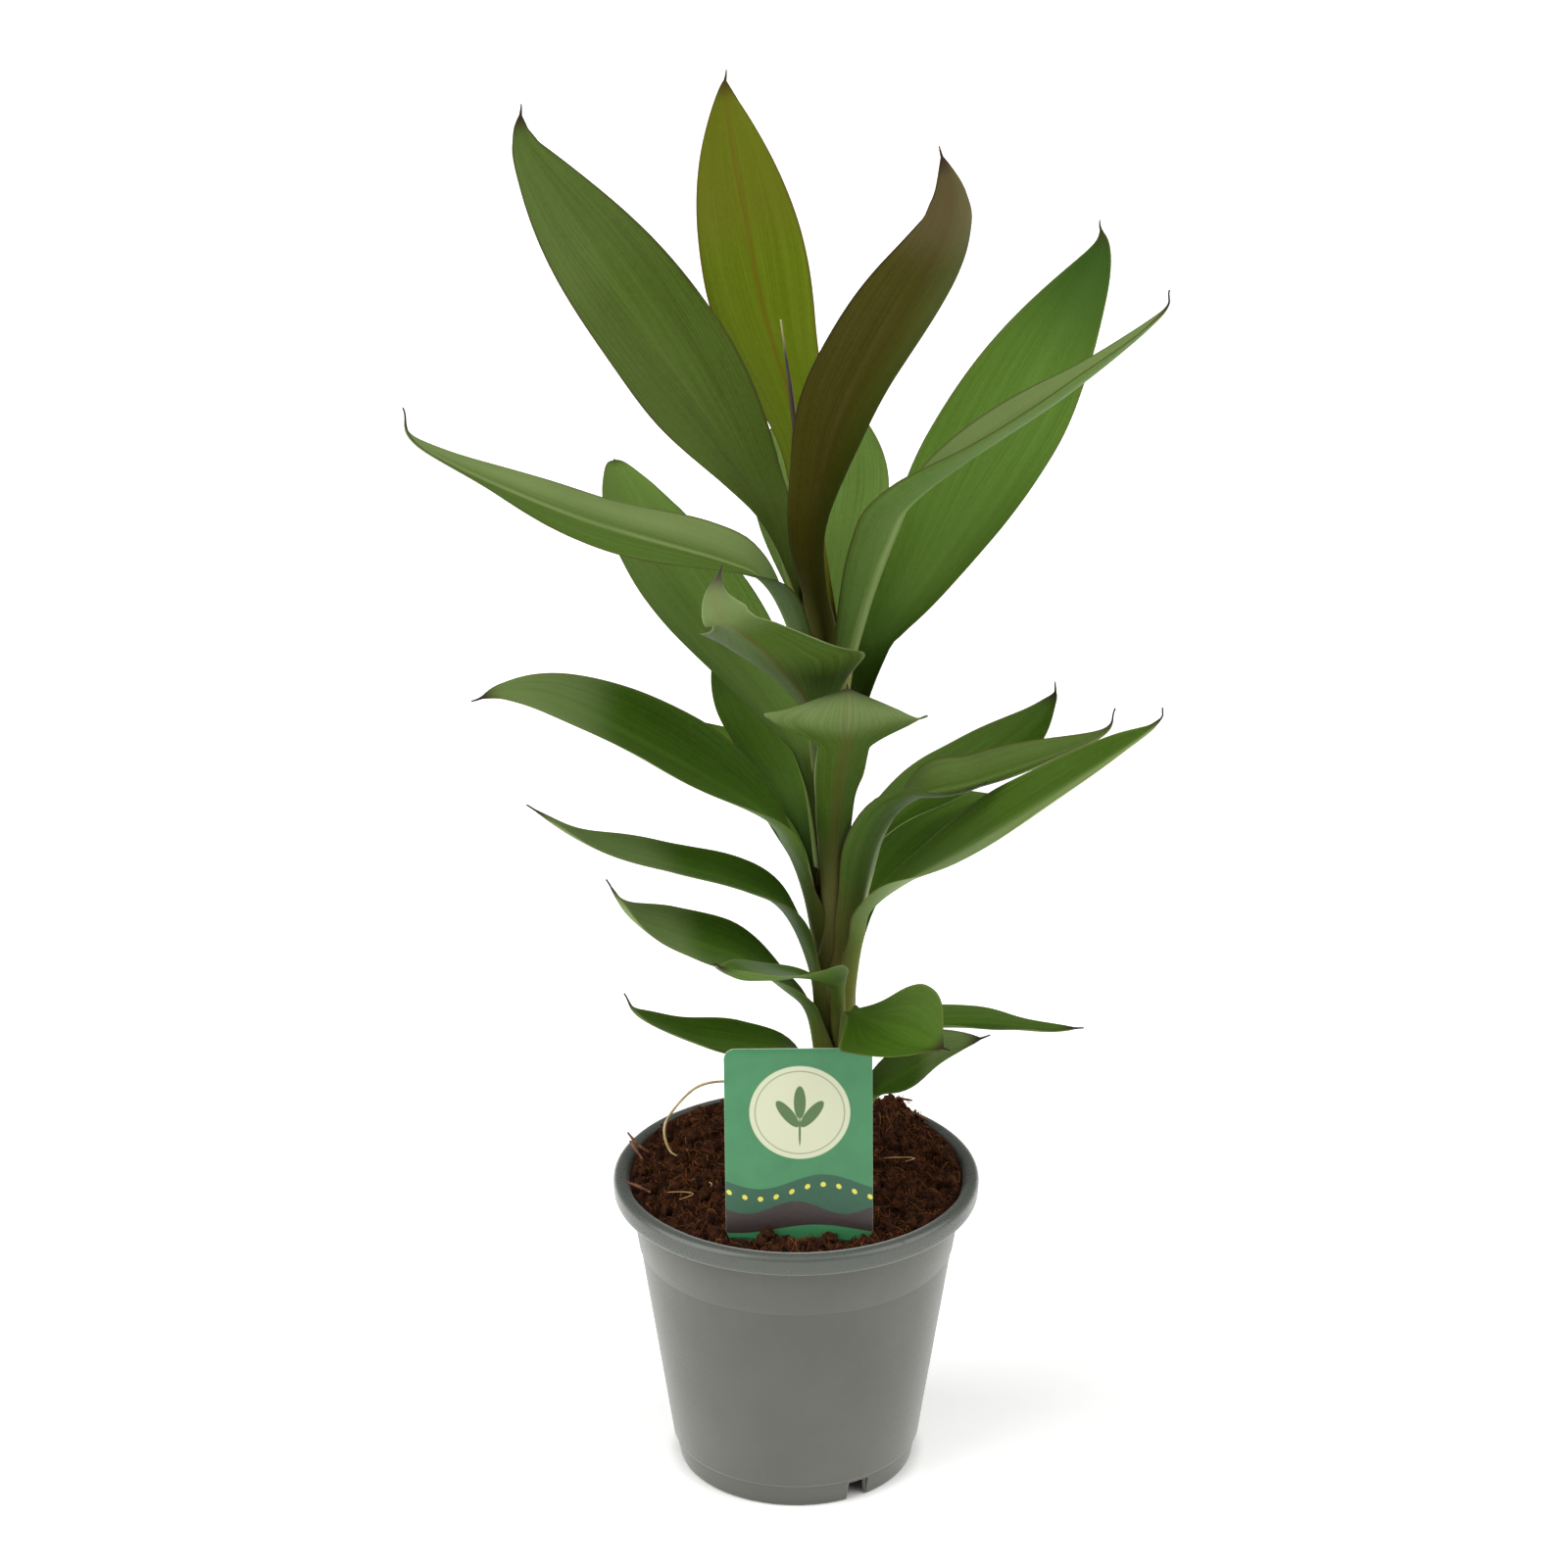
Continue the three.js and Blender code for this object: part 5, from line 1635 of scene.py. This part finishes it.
@dataclass
class PlantLabel:
    """The push-in label: a thin printed plate with a tongue in the soil."""

    width: float = 47.0
    height: float = 69.0
    thickness: float = 0.7
    top_corner: float = 3.5
    foot_corner: float = 7.0
    tongue_width: float = 27.0
    tongue_length: float = 26.0
    soft_edge: float = 0.14
    tilt_back: float = 3.0
    swing: float = -0.5
    foot: Spot = (1, -43.5, 99)

    CORNER_STEPS = 8
    # How squarely a face looks to either side, and to the front.
    FLAT, PRINTED = 0.9, 0.5

    @classmethod
    def _corner(cls, x: float, y: float, radius: float, first: float) -> list[Spot]:
        """Returns the points of a quarter round corner, anticlockwise from an angle in degrees."""
        steps = cls.CORNER_STEPS
        turns = (math.radians(first + 90 * cell / steps) for cell in range(steps + 1))
        return [(x + radius * math.cos(turn), y + radius * math.sin(turn), 0) for turn in turns]

    def outline(self) -> list[Spot]:
        """Returns the plate's outline, anticlockwise from the tongue's lower left."""
        half, tongue = self.width / 2, self.tongue_width / 2
        foot, head = self.foot_corner, self.top_corner
        return [
            (-tongue, -self.tongue_length, 0),
            (tongue, -self.tongue_length, 0),
            (tongue, 0, 0),
            *self._corner(half - foot, foot, foot, -90),
            *self._corner(half - head, self.height - head, head, 0),
            *self._corner(head - half, self.height - head, head, 90),
            *self._corner(foot - half, foot, foot, 180),
            (-tongue, 0, 0),
        ]

    def build(self) -> bpy.types.Mesh:
        """Builds the plate with softened edges; its printed face has the first finish."""
        shape = bmesh.new()
        front = shape.faces.new([shape.verts.new(Vector(point) * MM) for point in self.outline()])
        pushed = bmesh.ops.extrude_face_region(shape, geom=[front])["geom"]
        lifted = [item for item in pushed if isinstance(item, bmesh.types.BMVert)]
        bmesh.ops.translate(shape, verts=lifted, vec=(0, 0, self.thickness * MM))
        bmesh.ops.recalc_face_normals(shape, faces=shape.faces[:])
        caps = [face for face in shape.faces if abs(face.normal.z) > self.FLAT]
        edges = list({edge for face in caps for edge in face.edges})
        bmesh.ops.bevel(
            shape, geom=edges, offset=self.soft_edge * MM, affect="EDGES", segments=2, profile=0.5,
            material=-1,
        )
        bmesh.ops.triangulate(shape, faces=[face for face in shape.faces if len(face.verts) > 4])
        for face in shape.faces:
            face.material_index = 0 if face.normal.z > self.PRINTED else 1
        upright = Matrix.Rotation(math.radians(90 - self.tilt_back), 4, "X")
        swung = Matrix.Rotation(math.radians(self.swing), 4, "Y")
        centred = Matrix.Translation((0, 0, -self.thickness / 2 * MM))
        stood = Matrix.Translation(Vector(self.foot) * MM) @ swung @ upright @ centred
        bmesh.ops.transform(shape, matrix=stood, verts=shape.verts[:])
        return mesh_from("label", shape)


@dataclass
class Foliage:
    """The plant: its cane, its leaves and the rolled spear."""

    cane: Cane = field(default_factory=Cane)
    spear: Spear = field(default_factory=Spear)

    def build(self, fitter: Fitter) -> None:
        """Builds every piece of the plant and hands it to the frame."""
        bark = Shade("cane_bark", "4e3f2a", "84704a", 0.75, 160.0, 1400.0, 0.35)
        fitter.fit("cane_bark", self.cane.build("cane"), "cane", bark, node="cane")
        for leaf in LEAVES:
            fitter.fit(leaf.name + "_blade", leaf.build(self.cane), "leaf", leaf.tint.value, node=leaf.name)
        rolled = self.spear.build("leaf_spear")
        fitter.fit("leaf_spear_rolled", rolled, "young_leaf", SpearFinish(), node="leaf_spear")


@dataclass(frozen=True)
class Fibres:
    """One tone of the loose coir fibres on the soil."""

    name: str
    dark: str
    light: str
    thickness: float
    count: int
    lengths: tuple[float, float]
    lift: float


@dataclass
class Potting:
    """The pot, the soil in it, the loose things on the soil and the label."""

    pot: Pot = field(default_factory=Pot)
    root: RootFibre = field(default_factory=RootFibre)
    label: PlantLabel = field(default_factory=PlantLabel)
    chip_thickness: float = 1.1
    curl_thickness: float = 0.42
    curl_clear: float = 0.7
    curl_lift: float = 1.2
    curl_steps: int = 8
    curl_swing: float = 0.55
    curl_rise: float = 0.4

    FIBRES = (
        Fibres("soil_fibres_dark", "1c1008", "361e12", 0.2, 3600, (1.2, 5), 1.2),
        Fibres("soil_fibres_red", "47240e", "7c4a26", 0.2, 2800, (1.4, 6), 1.8),
        Fibres("soil_fibres_pale", "7a4c22", "a5743c", 0.15, 420, (2, 9), 1.8),
    )
    CHIPS = (
        ((-55.8, 18, 108.6), (-54, 15.5, 107.4), (-51.8, 13.6, 105.8), (-48.6, 12.6, 104)),
        ((-55, 14, 107.6), (-53, 10.5, 106.2), (-50.6, 7, 104.4)),
        ((-55.4, -11.2, 105.6), (-51.5, -13.2, 105), (-47.5, -14.6, 103.4)),
        ((30, 38, 108.6), (34, 39.5, 110.6), (39, 38.5, 110.2)),
        ((36, 31, 107.6), (40, 31.5, 109), (44, 30, 106.8)),
    )
    # Each pale curl's place across and back, its width and its bow.
    CURLS = ((-31, -12, 3.5, 9), (-38, -19, 4.5, 5), (24, -22, 4, 6), (33, 4, 6, 3))

    def build(self, fitter: Fitter) -> None:
        """Builds every piece and hands it to the frame."""
        soil = Soil(self.pot)
        fitter.fit("pot_shell", self.pot.build(), "pot", PotFinish(), node="pot")
        coir = Shade("soil_coir", "1b0f08", "452517", 0.95, 300.0, 1500.0, 0.9, 0.1)
        fitter.fit("soil_bed", soil.bed(), "soil", coir, node="soil")
        crumb = Shade("soil_crumb", "20130b", "542e1a", 0.95, 260.0, 1800.0, 0.6, 0.1)
        fitter.fit("soil_crumbs", soil.crumb_mesh(), "soil", crumb)
        clod = Shade("soil_clod", "1e110a", "4e2b18", 0.95, 320.0, 2200.0, 0.8, 0.1)
        fitter.fit("soil_clods", soil.clod_mesh(), "soil", clod)
        self._scatter_fibres(fitter, soil)
        chip = Shade("coir_chip_finish", "4a2a1a", "8a5a38", 0.85, 300.0, 1400.0, 0.4)
        fitter.fit("coir_chips", strands("coir_chips", self.chip_thickness, self.CHIPS, 2), "soil", chip)
        pale = Shade("coir_pale_finish", "a8804e", "c9a774", 0.8, 300.0, 1400.0, 0.1)
        curls = [self._curl(soil, *curl) for curl in self.CURLS]
        fitter.fit("soil_curls", strands("soil_curls", self.curl_thickness, curls, 1), "soil", pale)
        root = Shade("root_skin", "a8905c", "ccb684", 0.6, 220.0, 1600.0, 0.15)
        fitter.fit("root_fibre_pale", self.root.build("root_fibre"), "root_fibre", root, node="root_fibre")
        back = Shade("label_back", "b7c2a8", "c6cfb8", 0.4, 80.0, 700.0, 0.1)
        fitter.fit("label_plate", self.label.build(), "label", PrintFinish(), back, node="label")

    def _scatter_fibres(self, fitter: Fitter, soil: Soil) -> None:
        """Scatters the loose coir fibres in their tones, all from one run of random numbers."""
        draw = random.Random(soil.seed + 1)
        for kind in self.FIBRES:
            paths = [
                soil.strand(draw, draw.uniform(*kind.lengths), draw.uniform(0, kind.lift))
                for _ in range(kind.count)
            ]
            skin = Shade(kind.name + "_finish", kind.dark, kind.light, 0.85, 400.0, 1500.0, 0.1, 0.15)
            fitter.fit(kind.name, strands(kind.name, kind.thickness, paths), "soil", skin)

    def _curl(self, soil: Soil, x: float, y: float, width: float, bow: float) -> list[Spot]:
        """Returns the points of one pale curl that lies loose on the soil.

        Args:
            soil: The soil that it lies on.
            x: Its place across the pot.
            y: Its place from front to back.
            width: How wide it swings.
            bow: How far it runs back.

        Returns:
            The curl's points.
        """
        ground = soil.rough_at(x, y) + self.curl_clear
        return [
            (
                x + width * math.sin(step * self.curl_swing),
                y + bow * step / self.curl_steps,
                ground + self.curl_lift * math.sin(step * self.curl_rise),
            )
            for step in range(self.curl_steps + 1)
        ]


@dataclass(frozen=True)
class Studio:
    """A pale floor, soft studio light and the camera at the photograph's angle."""

    camera_at: Spot = (-0.004, -1.400, 0.833)
    camera_pitch: float = 67.1
    lens: float = 110.0
    sensor: float = 36.0
    floor_size: float = 14.0
    floor_drop: float = 0.0002
    floor_tone: str = "fcfcfa"
    floor_roughness: float = 0.9
    floor_glow: float = 0.28
    dark_radius: float = 0.038
    dark_fade: float = 0.006
    sky: float = 0.14
    softness: float = 60.0

    # Each light's compass turn and height above the floor, in degrees, and its strength.
    LIGHTS = (
        ("left_light", 200.0, 34.0, 2.6),
        ("right_light", -14.0, 36.0, 2.1),
        ("top_light", 250.0, 66.0, 0.8),
    )

    def build(self) -> None:
        """Sets the stage."""
        scene = bpy.context.scene
        scene.view_settings.view_transform = "Standard"
        lens = bpy.data.cameras.new("camera")
        lens.lens = self.lens
        lens.sensor_width = self.sensor
        camera = placed("camera", lens)
        camera.location = self.camera_at
        camera.rotation_euler = (math.radians(self.camera_pitch), 0, 0)
        scene.camera = camera
        for name, turn, rise, power in self.LIGHTS:
            glow = bpy.data.lights.new(name, "SUN")
            glow.angle = math.radians(self.softness)
            glow.energy = power
            lamp = placed(name, glow)
            lamp.rotation_euler = (math.radians(90 - rise), 0, math.radians(turn + 90))
        self._floor()
        world = bpy.data.worlds.new("soft_sky")
        world.use_nodes = True
        sky = world.node_tree.nodes["Background"].inputs
        sky["Color"].default_value = tone("ffffff")
        sky["Strength"].default_value = self.sky
        scene.world = world

    def _floor(self) -> None:
        """Lays the plain pale floor, which is darker where the pot hides it."""
        shape = bmesh.new()
        bmesh.ops.create_grid(shape, x_segments=2, y_segments=2, size=self.floor_size / 2)
        bmesh.ops.translate(shape, verts=shape.verts[:], vec=(0, 0, -self.floor_drop))
        bench = Surface("pale_floor")
        away = bench.length(bench.place())
        clear = bench.band(away, self.dark_radius, self.dark_radius + self.dark_fade)
        pale = bench.dressed({
            "Base Color": tone(self.floor_tone),
            "Roughness": self.floor_roughness,
            "Emission Color": bench.coats(tone("000000"), (clear, "ffffff")),
            "Emission Strength": self.floor_glow,
        })
        piece("floor", mesh_from("floor", shape), pale)


def corners(bounds: Iterable[Iterable[float]]) -> list[list[float]]:
    """Returns a box's corners as plain lists of numbers."""
    return [[round(float(value), 5) for value in corner] for corner in bounds]


def main() -> None:
    """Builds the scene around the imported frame."""
    logging.basicConfig(level=logging.INFO, format="%(name)s %(message)s")
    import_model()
    Studio().build()
    fitter = Fitter()
    Foliage().build(fitter)
    Potting().build(fitter)


if __name__ == "__main__":
    main()
